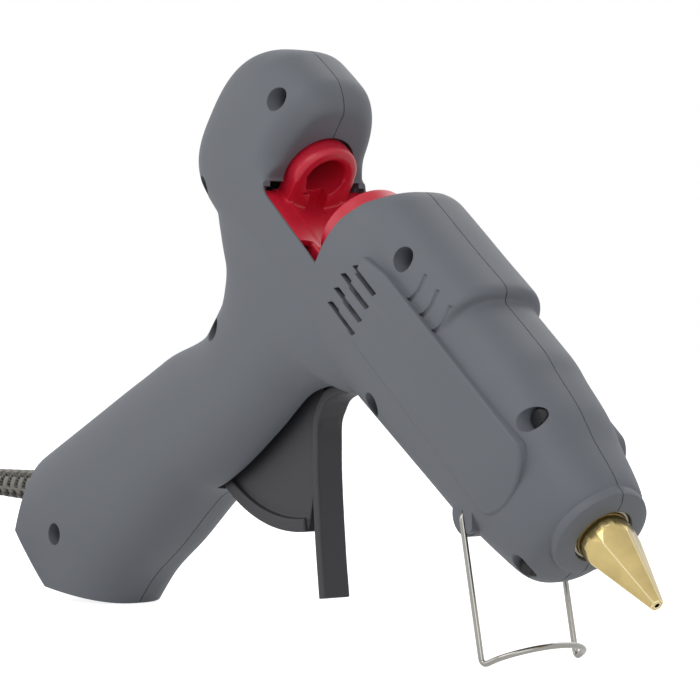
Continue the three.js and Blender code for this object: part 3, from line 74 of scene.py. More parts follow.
def make_camera():
    level = math.cos(ELEVATION)
    back = Vector((math.sin(AZIMUTH) * level, -math.cos(AZIMUTH) * level, math.sin(ELEVATION)))
    target = stood(0, 0, 0) - Vector((0, 0, UNDER_AXIS))
    data = bpy.data.cameras.new("camera")
    data.sensor_width = SENSOR_MM
    data.lens = SENSOR_MM * FOCAL_PX / IMAGE_PX
    data.clip_start, data.clip_end = 0.01, 20
    camera = placed("camera", data)
    camera.rotation_mode = "QUATERNION"
    camera.location = target + back * DISTANCE
    camera.rotation_quaternion = (-back).to_track_quat("-Z", "Y")
    bpy.context.scene.camera = camera


make_camera()


# Mesh helpers
NOTHING = 1e-6


def new_object(name, verts, faces):
    mesh = bpy.data.meshes.new(name)
    mesh.from_pydata([tuple(v) for v in verts], [], faces)
    mesh.update()
    obj = placed(name, mesh)
    bm = bmesh.new()
    bm.from_mesh(mesh)
    bmesh.ops.recalc_face_normals(bm, faces=bm.faces)
    bm.to_mesh(mesh)
    bm.free()
    return obj


def loft(name, rings, closed=True):
    """A skin over rings of points, closed with flat ends unless the rings come to a point."""
    size = len(rings[0])
    verts = [p for ring in rings for p in ring]
    faces = []
    for r in range(len(rings) - 1):
        for k in range(size):
            a, b = r * size + k, r * size + (k + 1) % size
            faces.append((a, b, b + size, a + size))
    if closed:
        for r in (0, len(rings) - 1):
            faces.append(tuple(r * size + k for k in range(size)))
    return new_object(name, verts, faces)


def box(name, x0, x1, y0, y1, z0, z1):
    verts = [(x, y, z) for x in (x0, x1) for y in (y0, y1) for z in (z0, z1)]
    faces = [(0, 1, 3, 2), (4, 6, 7, 5), (0, 4, 5, 1), (2, 3, 7, 6), (0, 2, 6, 4), (1, 5, 7, 3)]
    return new_object(name, verts, faces)


def plate(name, outline, y0, y1):
    """An outline of (x, z) drawn out from y0 to y1."""
    n = len(outline)
    verts = [(x, y, z) for y in (y0, y1) for x, z in outline]
    faces = [tuple(range(n)), tuple(range(2 * n - 1, n - 1, -1))]
    faces += [(k, (k + 1) % n, n + (k + 1) % n, n + k) for k in range(n)]
    return new_object(name, verts, faces)


def turned(name, profile, sides, axis=(1, 0, 0), at=(0, 0, 0)):
    """A closed profile of (along, radius) turned about an axis; points on the axis are shared."""
    axis = Vector(axis).normalized()
    helper = Vector((0, 1, 0)) if abs(axis.y) < 0.9 else Vector((1, 0, 0))
    u = helper.cross(axis).normalized()
    v = axis.cross(u)
    at = Vector(at)
    verts, rows = [], []
    for along, radius in profile:
        if radius <= NOTHING:
            rows.append([len(verts)])
            verts.append(at + axis * along)
            continue
        row = []
        for k in range(sides):
            t = 2 * math.pi * k / sides
            row.append(len(verts))
            verts.append(at + axis * along + (u * math.cos(t) + v * math.sin(t)) * radius)
        rows.append(row)
    faces = []
    for i in range(len(rows)):
        a, b = rows[i], rows[(i + 1) % len(rows)]
        if len(a) == 1 and len(b) == 1:
            continue
        for k in range(sides):
            k2 = (k + 1) % sides
            if len(a) == 1:
                faces.append((a[0], b[k2], b[k]))
            elif len(b) == 1:
                faces.append((a[k], a[k2], b[0]))
            else:
                faces.append((a[k], a[k2], b[k2], b[k]))
    return new_object(name, verts, faces)


def rod(name, x0, x1, radius, sides, axis=(1, 0, 0), at=(0, 0, 0)):
    return turned(name, [(x0, 0), (x0, radius), (x1, radius), (x1, 0)], sides, axis, at)


def cross_rod(name, x, z, radius, y0, y1, sides=40):
    return rod(name, y0, y1, radius, sides, (0, 1, 0), (x, 0, z))


def swept(name, points, radius, sides):
    """A round bar along a line of points."""
    points = [Vector(p) for p in points]
    n = len(points)
    tangents = [(points[min(i + 1, n - 1)] - points[max(i - 1, 0)]).normalized() for i in range(n)]
    helper = Vector((0, 0, 1)) if abs(tangents[0].z) < 0.9 else Vector((1, 0, 0))
    side = helper.cross(tangents[0]).normalized()
    rings = []
    for p, t in zip(points, tangents):
        side = (side - t * side.dot(t)).normalized()
        up = t.cross(side)
        rings.append([
            p + (side * math.cos(2 * math.pi * k / sides) + up * math.sin(2 * math.pi * k / sides)) * radius
            for k in range(sides)
        ])
    return loft(name, rings)


def apply_all(obj):
    depsgraph = bpy.context.evaluated_depsgraph_get()
    mesh = bpy.data.meshes.new_from_object(obj.evaluated_get(depsgraph))
    obj.modifiers.clear()
    old = obj.data
    obj.data = mesh
    bpy.data.meshes.remove(old)
    return obj


def combine(base, others, operation):
    for other in others:
        modifier = base.modifiers.new("boolean", "BOOLEAN")
        modifier.operation = operation
        modifier.solver = "MANIFOLD"
        modifier.object = other
    apply_all(base)
    for other in others:
        bpy.data.objects.remove(other)
    return base


def union(base, *others):
    return combine(base, others, "UNION")


def cut(base, *others):
    return combine(base, others, "DIFFERENCE")


def keep(base, *others):
    return combine(base, others, "INTERSECT")


def melted(obj, voxel, rounds):
    """Joins what overlaps in one even skin and softens its inner and outer edges."""
    remesh = obj.modifiers.new("remesh", "REMESH")
    remesh.mode = "VOXEL"
    remesh.voxel_size = voxel
    smooth = obj.modifiers.new("smooth", "SMOOTH")
    smooth.factor = 0.5
    smooth.iterations = rounds
    return apply_all(obj)


def bevelled(obj, width, segments, degrees):
    """Turns every edge sharper than the angle."""
    bevel = obj.modifiers.new("bevel", "BEVEL")
    bevel.width, bevel.segments, bevel.limit_method = width, segments, "ANGLE"
    bevel.angle_limit = math.radians(degrees)
    return apply_all(obj)


def clamped(share):
    return min(1.0, max(0.0, share))


def squared_off(value, fullness):
    """Drives a cosine or sine outwards, which makes a box of an ellipse."""
    return math.copysign(abs(value) ** (2 / fullness), value)


def finish_piece(obj, body, material, node, angle):
    """Stands a piece up in the row frame, shades it, and lets it ride on its body."""
    obj.data.transform(STAND_UP)
    shade(obj, angle)
    obj.data.materials.clear()
    obj.data.materials.append(material)
    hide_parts(node)
    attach(obj, body)


def shade(obj, angle):
    """Smooth shading, with edges sharper than the angle kept."""
    mesh = obj.data
    mesh.polygons.foreach_set("use_smooth", [True] * len(mesh.polygons))
    mesh.set_sharp_from_angle(angle=math.radians(angle))
    mesh.update()


# Materials
def linear(hex_code):
    values = [int(hex_code[i:i + 2], 16) / 255 for i in (0, 2, 4)]
    return tuple(v / 12.92 if v <= 0.04045 else ((v + 0.055) / 1.055) ** 2.4 for v in values)


def add_node(tree, kind, **values):
    node = tree.nodes.new("ShaderNode" + kind)
    for key, value in values.items():
        node.inputs[key.replace("_", " ")].default_value = value
    return node


def surface(name, hex_code, roughness, metallic, scale, contrast, bump, depth, gloss, edge=0.0, edge_highlight=None):
    """Slight unevenness in colour and gloss, a fine grain, edges worn round, and a painted highlight on the edges,
    a lighter colour where light would catch them.
    """
    material = bpy.data.materials.new(name)
    material.use_nodes = True
    tree = material.node_tree
    link = tree.links.new
    color = linear(hex_code)
    bsdf = tree.nodes["Principled BSDF"]
    bsdf.inputs["Base Color"].default_value = (*color, 1)
    bsdf.inputs["Roughness"].default_value = roughness
    bsdf.inputs["Metallic"].default_value = metallic

    coords = add_node(tree, "TexCoord")
    cloud = add_node(tree, "TexNoise", Scale=scale, Detail=6)
    link(coords.outputs["Object"], cloud.inputs["Vector"])
    ramp = add_node(tree, "ValToRGB")
    for stop, place, sign in zip(ramp.color_ramp.elements, (0.3, 0.7), (-1, 1)):
        stop.position = place
        stop.color = (*[min(1, c * (1 + sign * contrast)) for c in color], 1)
    link(cloud.outputs["Fac"], ramp.inputs["Fac"])
    link(ramp.outputs["Color"], bsdf.inputs["Base Color"])
    span = add_node(tree, "MapRange", To_Min=gloss[0], To_Max=gloss[1])
    link(cloud.outputs["Fac"], span.inputs["Value"])
    link(span.outputs["Result"], bsdf.inputs["Roughness"])

    grain = add_node(tree, "TexNoise", Scale=scale * 60, Detail=3)
    link(coords.outputs["Object"], grain.inputs["Vector"])
    relief = add_node(tree, "Bump", Strength=bump, Distance=depth)
    link(grain.outputs["Fac"], relief.inputs["Height"])
    link(relief.outputs["Normal"], bsdf.inputs["Normal"])
    if edge:
        round_edge = add_node(tree, "Bevel", Radius=edge)
        round_edge.samples = 6
        link(round_edge.outputs["Normal"], relief.inputs["Normal"])
    # Painted highlight: the edges take a lighter colour, as if light caught them
    if edge_highlight:
        wide_edge = add_node(tree, "Bevel", Radius=0.0007)
        wide_edge.samples = 8
        likeness = add_node(tree, "VectorMath")
        likeness.operation = "DOT_PRODUCT"
        link(wide_edge.outputs["Normal"], likeness.inputs[0])
        link(add_node(tree, "NewGeometry").outputs["Normal"], likeness.inputs[1])
        share = add_node(tree, "MapRange", From_Min=0.998, From_Max=0.93)
        link(likeness.outputs["Value"], share.inputs["Value"])
        mix = tree.nodes.new("ShaderNodeMix")
        mix.data_type = "RGBA"
        factor, base_color_in, highlight_color_in = mix.inputs[0], mix.inputs[6], mix.inputs[7]
        highlight_color_in.default_value = (*linear(edge_highlight), 1)
        link(share.outputs["Result"], factor)
        link(ramp.outputs["Color"], base_color_in)
        link(mix.outputs[2], bsdf.inputs["Base Color"])
    return material


# Colour, roughness, metallic; scale and contrast of the unevenness; strength and depth of the grain;
# span of the gloss; radius of the worn edges; colour of the painted highlight on the edges
plastic = surface("housing_plastic", "6A6E75", 0.55, 0, 25, 0.035, 0.12, 0.0001, (0.5, 0.62), 0.0005)
red_plastic = surface("feeder_plastic", "D8203A", 0.35, 0, 30, 0.03, 0.04, 0.00005, (0.3, 0.4), 0.0004)
black_plastic = surface("trigger_plastic", "2E2E32", 0.5, 0, 30, 0.04, 0.1, 0.0001, (0.45, 0.6), 0.0004)
# Brass, with a painted highlight on its edges
brass = surface("nozzle_brass", "BEAA74", 0.3, 1, 90, 0.22, 0.05, 0.00003, (0.17, 0.27), 0.0001, "F2E4BC")
steel = surface("bright_steel", "9C9A95", 0.22, 1, 80, 0.06, 0.03, 0.00002, (0.16, 0.3), 0.0001)
dark_steel = surface("blackened_steel", "2E2E30", 0.5, 0.7, 80, 0.1, 0.05, 0.00002, (0.45, 0.6), 0.0001)
aluminium = surface("cast_aluminium", "A9ACB0", 0.5, 1, 60, 0.06, 0.3, 0.0001, (0.4, 0.6), 0.0003)
silicone = surface("pale_silicone", "DAD6CA", 0.6, 0, 60, 0.04, 0.08, 0.0001, (0.55, 0.7), 0.0003)
ceramic = surface("ceramic", "E4DFD2", 0.8, 0, 90, 0.05, 0.2, 0.0001, (0.7, 0.85), 0.0003)
rubber = surface("cord_rubber", "505154", 0.6, 0, 70, 0.05, 0.1, 0.0001, (0.5, 0.68), 0.0003)
# Painted shade: a near-black material for the floors of the relief's slots
slot_painted_shade = surface("slot_shade", "1E1E1D", 0.7, 0, 70, 0.05, 0.1, 0.0001, (0.6, 0.75))
relief_rubber = surface("relief_rubber", "85837C", 0.6, 0, 70, 0.05, 0.1, 0.0001, (0.5, 0.68), 0.0003)


# Housing
TAIL_X, HUMP_LENGTH = -58.0, 38.5
WINDOW_REAR, WINDOW_FRONT, FRONT_LENGTH = -19.5, 15.3, 120.7
NOSE_X = WINDOW_FRONT + FRONT_LENGTH
HUMP_HEIGHT, ROOF_HEIGHT, HOOD_HEIGHT, BELLY = 26.05, 22.6, 26.3, 33.0
BODY_HALF, WALL, SILL = 18.4, 2.6, 6.2
FULL, NOSE_FULL = 2.75, 2.25
ROLL, ROLL_DEPTH = 9.0, 6.3
COLLAR_R, COLLAR_END, BOSS_R, BAND = 13.9, 139.2, 11.5, 5.2
SKIN_SIDES, SKIN_STEPS, INNER_SIDES, INNER_STEPS = 128, 10, 48, 3
# Shares of the length; of the top, the bottom and the half width there
HUMP = [
    (0, 0.4, 0.78, 0.7), (0.03, 0.57, 0.87, 0.8), (0.1, 0.7, 0.94, 0.89), (0.23, 0.84, 1, 0.96),
    (0.45, 0.985, 1.03, 0.995), (0.75, 1, 1.05, 1), (1, 0.9, 1.05, 1),
]
FRONT = [
    (0, 0.86, 1.02, 1), (0.12, 0.985, 1, 1), (0.25, 1, 0.97, 1), (0.62, 1, 0.875, 1),
    (0.7, 0.94, 0.855, 0.99), (0.79, 0.88, 0.81, 0.975), (0.88, 0.75, 0.765, 0.94),
    (0.935, 0.7, 0.735, 0.895), (0.965, 0.67, 0.69, 0.855), (0.985, 0.64, 0.6, 0.81), (1, 0.6, 0.43, 0.74),
]
# The same without the bottom
HOOD = [
    (0, 0.74, 0.8), (0.1, 0.88, 0.86), (0.25, 0.985, 0.9), (0.6, 0.985, 0.92),
    (0.95, 1, 0.92), (0.99, 0.97, 0.9), (1, 0.92, 0.86),
]


def oval(x, top, bottom, half, fullness, steps):
    """A ring square to the stick axis, between an ellipse and a box."""
    middle, rise = (top + bottom) / 2, (top - bottom) / 2
    ring = []
    for k in range(steps):
        t = 2 * math.pi * k / steps
        c, s = math.cos(t), math.sin(t)
        ring.append((x, half * squared_off(c, fullness), middle + rise * squared_off(s, fullness)))
    return ring


def smoothed(rows, steps):
    """Rows of numbers run through by a smooth curve, spaced by the first two."""
    knots = [0.0]
    for a, b in zip(rows, rows[1:]):
        knots.append(knots[-1] + math.hypot(b[0] - a[0], b[1] - a[1]) ** 0.5 + NOTHING)
    out = []
    for i in range(len(rows) - 1):
        for s in range(steps):
            t = s / steps
            row = []
            for c in range(len(rows[0])):
                p1, p2 = rows[i][c], rows[i + 1][c]
                h = knots[i + 1] - knots[i]

                def slope(j):
                    if j <= 0:
                        return (rows[1][c] - rows[0][c]) / (knots[1] - knots[0])
                    if j >= len(rows) - 1:
                        return (rows[-1][c] - rows[-2][c]) / (knots[-1] - knots[-2])
                    a = (rows[j][c] - rows[j - 1][c]) / (knots[j] - knots[j - 1])
                    b = (rows[j + 1][c] - rows[j][c]) / (knots[j + 1] - knots[j])
                    if a * b <= 0:
                        return 0.0
                    return 2 * a * b / (a + b)

                m1, m2 = slope(i) * h, slope(i + 1) * h
                row.append(
                    (2 * t**3 - 3 * t**2 + 1) * p1 + (t**3 - 2 * t**2 + t) * m1
                    + (3 * t**2 - 2 * t**3) * p2 + (t**3 - t**2) * m2
                )
            out.append(row)
    out.append(list(rows[-1]))
    return out


def hump_rows():
    return [
        [TAIL_X + a * HUMP_LENGTH, t * HUMP_HEIGHT, -b * BELLY, h * BODY_HALF, FULL] for a, t, b, h in HUMP
    ]


def barrel(name, inset, sides, steps):
    rows = hump_rows()
    for a, t, b, h in FRONT:
        full = FULL + (NOSE_FULL - FULL) * max(0, a * 4 - 3)
        rows.append([WINDOW_FRONT + a * FRONT_LENGTH, t * ROOF_HEIGHT, -b * BELLY, h * BODY_HALF, full])
    rings = []
    for x, top, bottom, half, full in smoothed(rows, steps):
        if inset and (x < TAIL_X + inset or x > NOSE_X - inset):
            continue
        rings.append(oval(x, top - inset, bottom + inset, half - inset, full, sides))
    return loft(name, rings)


def hump_face(name, inset, sides, steps):
    """The space in front of the hump's rolled end, over the window's sill."""
    curve = smoothed(hump_rows(), 24)
    rings = []
    for i in range(steps):
        x = WINDOW_REAR - (ROLL + 6) * (1 - math.sin(math.pi / 2 * i / (steps - 1)))
        later = next(j for j in range(1, len(curve)) if curve[j][0] >= x - NOTHING)
        a, b = curve[later - 1], curve[later]
        t = (x - a[0]) / (b[0] - a[0])
        top, bottom, half, full = (p + (q - p) * t for p, q in zip(a[1:], b[1:]))
        x -= inset
        share = clamped((x + inset - WINDOW_REAR + ROLL) / ROLL)
        drop = ROLL_DEPTH * (1 - math.sqrt(max(0.0, 1 - share**2)))
        ring = []
        for _, y, z in oval(x, top - inset, bottom + inset, half - inset, full, sides):
            blend = clamped((z + SILL) / (SILL + 5))
            blend = blend * blend * (3 - 2 * blend)
            ring.append((x, y * (1 - blend * drop / half), z - blend * drop * 0.6 * max(0.0, z) / top))
        rings.append(ring)
    zone = box(name + "_zone", WINDOW_REAR - ROLL - 2, 0, -30, 30, 2.5 - SILL, 45)
    return cut(zone, loft(name, rings))


def hood(name, inset, sides, steps):
    """The raised roof over the melt chamber, from the window forward."""
    length = FRONT_LENGTH * 0.455
    rows = [[WINDOW_FRONT + a * length, t * HOOD_HEIGHT, h * BODY_HALF] for a, t, h in HOOD]
    rings = []
    for x, top, half in smoothed(rows, steps):
        x -= inset * clamped((x - WINDOW_FRONT) / 50)
        rings.append(oval(x, top - inset, -SILL, half - inset, FULL, sides))
    return loft(name, rings)


# Handle
NECK_X, NECK_WIDTH, NECK_DEPTH, GRIP_LENGTH = -2.0, 45.0, 58.0, 102.0
RAKE = math.radians(27.8)
BUTT_DEPTH, BUTT_WIDTH, BUTT_BACK = 178.5, 61.2, -74.0
HANDLE_HALF, HANDLE_FULL = 17.6, 2.7
# Back and front of the handle: x by the neck's width and z by its depth
NECK = [
    (-1.11, 0.26, 1.38, 0.21), (-1.07, 0.45, 1.2, 0.41), (-0.84, 0.59, 0.98, 0.585),
    (-0.65, 0.67, 0.78, 0.655), (-0.555, 0.76, 0.68, 0.73), (-0.493, 0.88, 0.593, 0.833),
    (-0.495, 1.045, 0.498, 1.088),
]
# Share of the grip's length, and width by the neck's
GRIP = [(0.245, 1.145), (0.37, 1.17), (0.48, 1.15), (0.735, 1.3), (0.96, 1.42), (1.215, 1.68)]
BUTT = [(0, 0.868), (0.167, 0.997), (0.58, 1.006), (1, 0.921)]
BUTT_CORNERS = [(BUTT_BACK + x * BUTT_WIDTH, -z * BUTT_DEPTH) for x, z in BUTT]


def handle_ring(back, front, inset, sides):
    """A ring of the handle between a point of its back and one of its front."""
    bx, bz = back
    fx, fz = front
    mx, mz = (bx + fx) / 2, (bz + fz) / 2
    reach = math.hypot(fx - bx, fz - bz) / 2
    dx, dz = (fx - bx) / (2 * reach), (fz - bz) / (2 * reach)
    reach -= inset
    ring = []
    for k in range(sides):
        t = 2 * math.pi * k / sides
        c, s = math.cos(t), math.sin(t)
        along = reach * squared_off(c, HANDLE_FULL)
        y = (HANDLE_HALF - inset) * squared_off(s, HANDLE_FULL)
        ring.append((mx + dx * along, y, mz + dz * along))
    return ring


def inset_outline(points, inset):
    """An outline with every side moved inwards."""
    pairs = list(zip(points, points[1:] + points[:1]))
    turn = math.copysign(1, sum(x * nz - nx * z for (x, z), (nx, nz) in pairs))
    sides = []
    for (x, z), (nx, nz) in pairs:
        length = math.hypot(nx - x, nz - z)
        dx, dz = (nx - x) / length, (nz - z) / length
        sides.append((x - dz * inset * turn, z + dx * inset * turn, dx, dz))
    out = []
    for i, (x, z, dx, dz) in enumerate(sides):
        bx, bz, bdx, bdz = sides[i - 1]
        crossing = bdx * dz - bdz * dx
        t = ((x - bx) * dz - (z - bz) * dx) / crossing
        out.append((bx + bdx * t, bz + bdz * t))
    return out


def handle(name, inset, sides, steps):
    rows = [
        [NECK_X + bx * NECK_WIDTH, -bz * NECK_DEPTH, NECK_X + fx * NECK_WIDTH, -fz * NECK_DEPTH]
        for bx, bz, fx, fz in NECK
    ]
    waist = NECK_X - NECK_WIDTH / 2
    for down, width in GRIP:
        z = -NECK_DEPTH - down * GRIP_LENGTH
        x = waist - down * GRIP_LENGTH * math.tan(RAKE)
        rows.append([x, z, x + width * NECK_WIDTH, z])
    return loft(name, [handle_ring((a, b), (c, d), inset, sides) for a, b, c, d in smoothed(rows, steps)])


def above_butt(name, far, low, top, half, inset=0.0):
    """A plate that holds all there is above the butt's facets."""
    outline = BUTT_CORNERS + [(far, low), (far, top), (-far, top), (-far, low)]
    return plate(name, inset_outline(outline, inset) if inset else outline, -half, half)


def hollow(name, inset):
    """The space inside the shells, that far under their skin."""
    butt = above_butt(name + "_butt", BUTT_DEPTH, -BUTT_DEPTH / 2, 12, HANDLE_HALF + 1, inset)
    under_hood = box(name + "_box", WINDOW_FRONT, NOSE_X, -20, 20, 0, 30)
    return union(
        barrel(name, inset, INNER_SIDES, INNER_STEPS),
        keep(handle(name + "_handle", inset, INNER_SIDES, INNER_STEPS), butt),
        keep(hood(name + "_hood", inset, INNER_SIDES, INNER_STEPS), under_hood),
    )


# Screws, side pad, stand, openings, vents and grooves
SCREWS = [
    (TAIL_X + HUMP_LENGTH * 0.7, HUMP_HEIGHT * 0.63),
    (TAIL_X + HUMP_LENGTH * 0.27, -BELLY * 0.82),
    (NECK_X - NECK_WIDTH * 0.32, -NECK_DEPTH * 0.97),
    (BUTT_BACK + BUTT_WIDTH * 0.49, -BUTT_DEPTH * 0.908),
    (WINDOW_FRONT + FRONT_LENGTH * 0.245, ROOF_HEIGHT * 0.75),
    (WINDOW_FRONT + FRONT_LENGTH * 0.785, ROOF_HEIGHT * 0.68),
    (WINDOW_FRONT + FRONT_LENGTH * 0.35, -BELLY * 0.72),
    (WINDOW_FRONT + FRONT_LENGTH * 0.955, -BELLY * 0.53),
]
# Squat flattens its round end; low and nose say how far it sinks in at its bottom and, past bend, at its end
PAD = dict(rear=33.0, front=120.5, top=11.2, bottom=13.0, proud=1.1, squat=0.62, low=0.8, nose=1.3, bend=98.0)
STAND_X, STAND_DROP, STAND_HALF = 106.5, 20.2, 16.2
LUG_R, LUG_INNER, LUG_OUTER, LUG_REACH, LUG_GAP = 6.2, 9.3, 14.3, 16.4, 1.1
LEG_LENGTH, LEAN = 40.3, math.radians(39.2)
# Openings: radii of the four on the stick axis and of the cord's; half width and depth for the feeder's foot
RING_MOUTH, GUARD_MOUTH, STICK_MOUTH, NOZZLE_MOUTH, CORD_MOUTH = 11.4, 14.6, 7.4, 8.5, 6.0
FOOT_MOUTH_HALF, FOOT_MOUTH_DROP = 11.2, 11.8
VENTS, VENT_Z, VENT_PITCH, VENT_HALF, VENT_REAR, VENT_FRONT = 4, 4, 4.95, 0.9, 28, 44
FIRST_VENT_SHORTER, VENT_STEP = 2.8, 0.42
GROOVES, GROOVE_X, GROOVE_PITCH = 3, 54.6, 6.8
GROOVE_Z, GROOVE_RISE, GROOVE_BOW, GROOVE_R = 10.2, 9.3, 1.4, 0.75
BAR_REAR, BAR_FRONT, BAR_LOW, BAR_TOP = 33.4, 34.6, -12.5, 5.5
POST_R, POST_HALF, SCREW_R, SCREW_FROM, SCREW_TO, WIRE_HOLE_R = 4, 17, 1.8, -9.5, 8.3, 1.1
TRIGGER_MOUTH_HALF, TRIGGER_ROOM, OUTSIDE = 6.2, 1.2, 31
# Along y, radius
SCREW_BORE = [(-OUTSIDE, 0), (-OUTSIDE, 3.55), (-15.5, 3.5), (-13.5, 3.15), (-9, 3.0), (-9, 0)]
PARTING = 0.15
# Trigger and drive pin
HUB_R, SECTOR_R, SECTOR_FROM, SECTOR_TO, RIM_WIDTH = 5.5, 57.5, -100, -45, 4.0
TRIGGER_HALF, ARM_HALF, ARM_LEAN, DRIVE_DROP = 4.5, 4.2, math.radians(11), 17.5


def window_outline():
    top, lip, rise = HOOD_HEIGHT + 12, WINDOW_FRONT, 1.6
    return [
        (WINDOW_REAR, top), (WINDOW_REAR, -1.5),
        (WINDOW_REAR + SILL * 0.2, -SILL * 0.8), (WINDOW_REAR + SILL * 0.6, -SILL),
        (lip + 0.6, -SILL - 0.5), (lip, 0), (lip + rise * 0.4, HOOD_HEIGHT * 0.35),
        (lip + rise * 1.6, HOOD_HEIGHT * 0.57), (lip + rise * 5.8, HOOD_HEIGHT * 0.92),
        (lip + rise * 8.5, top),
    ]


def pivot_at(radius, degrees):
    t = math.radians(degrees)
    return (PIVOT_X + radius * math.cos(t), PIVOT_Z + radius * math.sin(t))


def arc(radius, a, b, steps):
    return [pivot_at(radius, a + (b - a) * i / steps) for i in range(steps + 1)]


def turned_corner(before, corner, after, reach, steps):
    """The small curve that takes a corner's place."""
    start, end = (corner + (p - corner).normalized() * reach for p in (before, after))
    shares = [i / steps for i in range(steps + 1)]
    return [start * (1 - t) ** 2 + corner * (2 * t * (1 - t)) + end * t**2 for t in shares]


def rounded(outline, radius, steps):
    """A closed outline with its corners turned in small curves."""
    out = []
    n = len(outline)
    for i in range(n):
        p, q, r = (Vector(outline[(i + k) % n]) for k in (-1, 0, 1))
        reach = min(radius, (p - q).length / 2.1, (r - q).length / 2.1)
        out += [tuple(v) for v in turned_corner(p, q, r, reach, steps)]
    return out


def rounded_window():
    """The window with its corners turned, but for the sill's front one and the two over the roof."""
    outline, steps = window_outline(), 6
    curves = rounded(outline, 4, steps)
    sharp = (0, 4, len(outline) - 1)
    out = []
    for i, point in enumerate(outline):
        out += [point] if i in sharp else curves[i * (steps + 1):(i + 1) * (steps + 1)]
    return out


def pad(side):
    """The raised field on the side of the front body, sinking in towards its bottom and its nose."""
    rear, front, top, bottom, proud = (PAD[key] for key in ("rear", "front", "top", "bottom", "proud"))
    middle, radius = (top - bottom) / 2, (top + bottom) / 2
    outline = [(rear, top * 0.8), (rear + top, top)]
    for i in range(25):
        t = math.pi / 2 - math.pi * i / 24
        outline.append((front + radius * PAD["squat"] * (math.cos(t) - 1), middle + radius * math.sin(t)))
    outline += [(rear + top, -bottom), (rear, -bottom * 0.8)]
    outside = BODY_HALF + proud
    y0, y1 = (BODY_HALF - WALL, outside) if side > 0 else (-outside, WALL - BODY_HALF)
    piece = plate("pad", outline, y0, y1)
    bevelled(piece, proud * 0.7, 4, 50)
    for v in piece.data.vertices:
        down = max(0.0, (top - v.co.z) / (top + bottom))
        ahead = max(0.0, (v.co.x - PAD["bend"]) / (front - PAD["bend"]))
        v.co.y -= side * (PAD["low"] * down**1.5 + PAD["nose"] * ahead**2)
    return piece


def stand_lug(side):
    """The round lug that holds the wire's end, with the shoulder that stops the wire."""
    inner, outer, reach = (side * y for y in (LUG_INNER, LUG_OUTER, LUG_REACH))
    lug = cross_rod("lug", STAND_X, -STAND_DROP, LUG_R, min(inner, outer), max(inner, outer), 64)
    cos, sin = math.cos(LEAN), math.sin(LEAN)
    corners = [(-1.86, LUG_GAP), (5.9, LUG_GAP), (5.3, LUG_GAP + WALL), (-1.86, LUG_GAP + WALL * 1.6)]
    shoulder = [
        (STAND_X + cos * along + sin * ahead, -STAND_DROP - sin * along + cos * ahead)
        for along, ahead in corners
    ]
    return union(lug, plate("shoulder", rounded(shoulder, 1, 3), min(inner, reach), max(inner, reach)))


def shoulder_at(z):
    """Half the width of the front body under the hood, at a height over the stick axis."""

    def half_at(half, middle, rise):
        return half * (1 - min(1, abs((z - middle) / rise)) ** FULL) ** (1 / FULL)

    return max(half_at(BODY_HALF * 0.925, 10, 16.3), half_at(BODY_HALF, -4.9, 27.5))


def make_skin():
    """The outside of both shells in one piece."""
    skin = barrel("skin", 0, SKIN_SIDES, SKIN_STEPS)
    skin = cut(skin, hump_face("hump", 0, SKIN_SIDES, 28))
    roof = hood("skin_hood", 0, SKIN_SIDES, SKIN_STEPS)
    skin = union(skin, roof, handle("skin_handle", 0, SKIN_SIDES, SKIN_STEPS))
    skin = melted(skin, 0.55, 12)
    far = BUTT_DEPTH * 2
    skin = keep(skin, above_butt("butt", far, -far / 3, 60, 30))
    collar = turned("collar", [
        (NOSE_X - BAND, 0), (NOSE_X - BAND, COLLAR_R), (COLLAR_END - 1.9, COLLAR_R),
        (COLLAR_END - 1, COLLAR_R - 0.3), (COLLAR_END, BOSS_R), (COLLAR_END, 0),
    ], 96)
    boss = turned("boss", [
        (TAIL_X - 1.5, 0), (TAIL_X - 1.5, BOSS_R - 1.5), (TAIL_X, BOSS_R), (TAIL_X + BAND, BOSS_R),
        (TAIL_X + BAND, 0),
    ], 96)
    return union(skin, collar, boss, pad(-1), pad(1), stand_lug(-1), stand_lug(1))


def make_inside():
    """The wall in front of the window and the screws' posts."""
    rim = window_outline()[5:9]
    foot = [(WINDOW_FRONT, -SILL), (WINDOW_FRONT + WALL, -SILL)]
    outline = [foot[0], *rim, *[(x + WALL, z) for x, z in reversed(rim)], foot[1]]
    front_wall = plate("front_wall", outline, -BODY_HALF, BODY_HALF)
    posts = [cross_rod("post", x, z, POST_R, -POST_HALF, POST_HALF) for x, z in SCREWS]
    return keep(union(front_wall, *posts), hollow("core", WALL / 2))


def make_mouths():
    """Openings for the feeder, the stick, the nozzle, the trigger and the cord."""
    slot = [
        *arc(SECTOR_R + TRIGGER_ROOM, SECTOR_FROM, -40, 24), (44, PIVOT_Z * 1.25), (44, PIVOT_Z * 0.74),
        (9.5, PIVOT_Z * 0.74), (9.5, PIVOT_Z - HUB_R),
    ]
    rear, front = WINDOW_REAR - WALL * 2, WINDOW_REAR + WALL
    return [
        plate("window", rounded_window(), -OUTSIDE, OUTSIDE),
        rod("ring_mouth", rear, front, RING_MOUTH, 96),
        box("foot_mouth", rear, front, -FOOT_MOUTH_HALF, FOOT_MOUTH_HALF, -FOOT_MOUTH_DROP, 0),
        rod("guard_mouth", WINDOW_FRONT - WALL, WINDOW_FRONT + WALL * 4, GUARD_MOUTH, 96),
        rod("stick_mouth", TAIL_X - 12, TAIL_X + 12, STICK_MOUTH, 96),
        rod("nozzle_mouth", 128, 151, NOZZLE_MOUTH, 96),
        plate("trigger_slot", slot, -TRIGGER_MOUTH_HALF, TRIGGER_MOUTH_HALF),
        rod("cord_mouth", -WALL * 2, WALL * 2, CORD_MOUTH, 64, LEVEL_BACK, inner_cord()),
    ]


def sill_groove(side):
    y0, y1 = sorted((side * (BODY_HALF - WALL - 1), side * (BODY_HALF - 0.55)))
    return box("lip", WINDOW_REAR + 0.3, WINDOW_FRONT - 0.4, y0, y1, -9.4, -5)


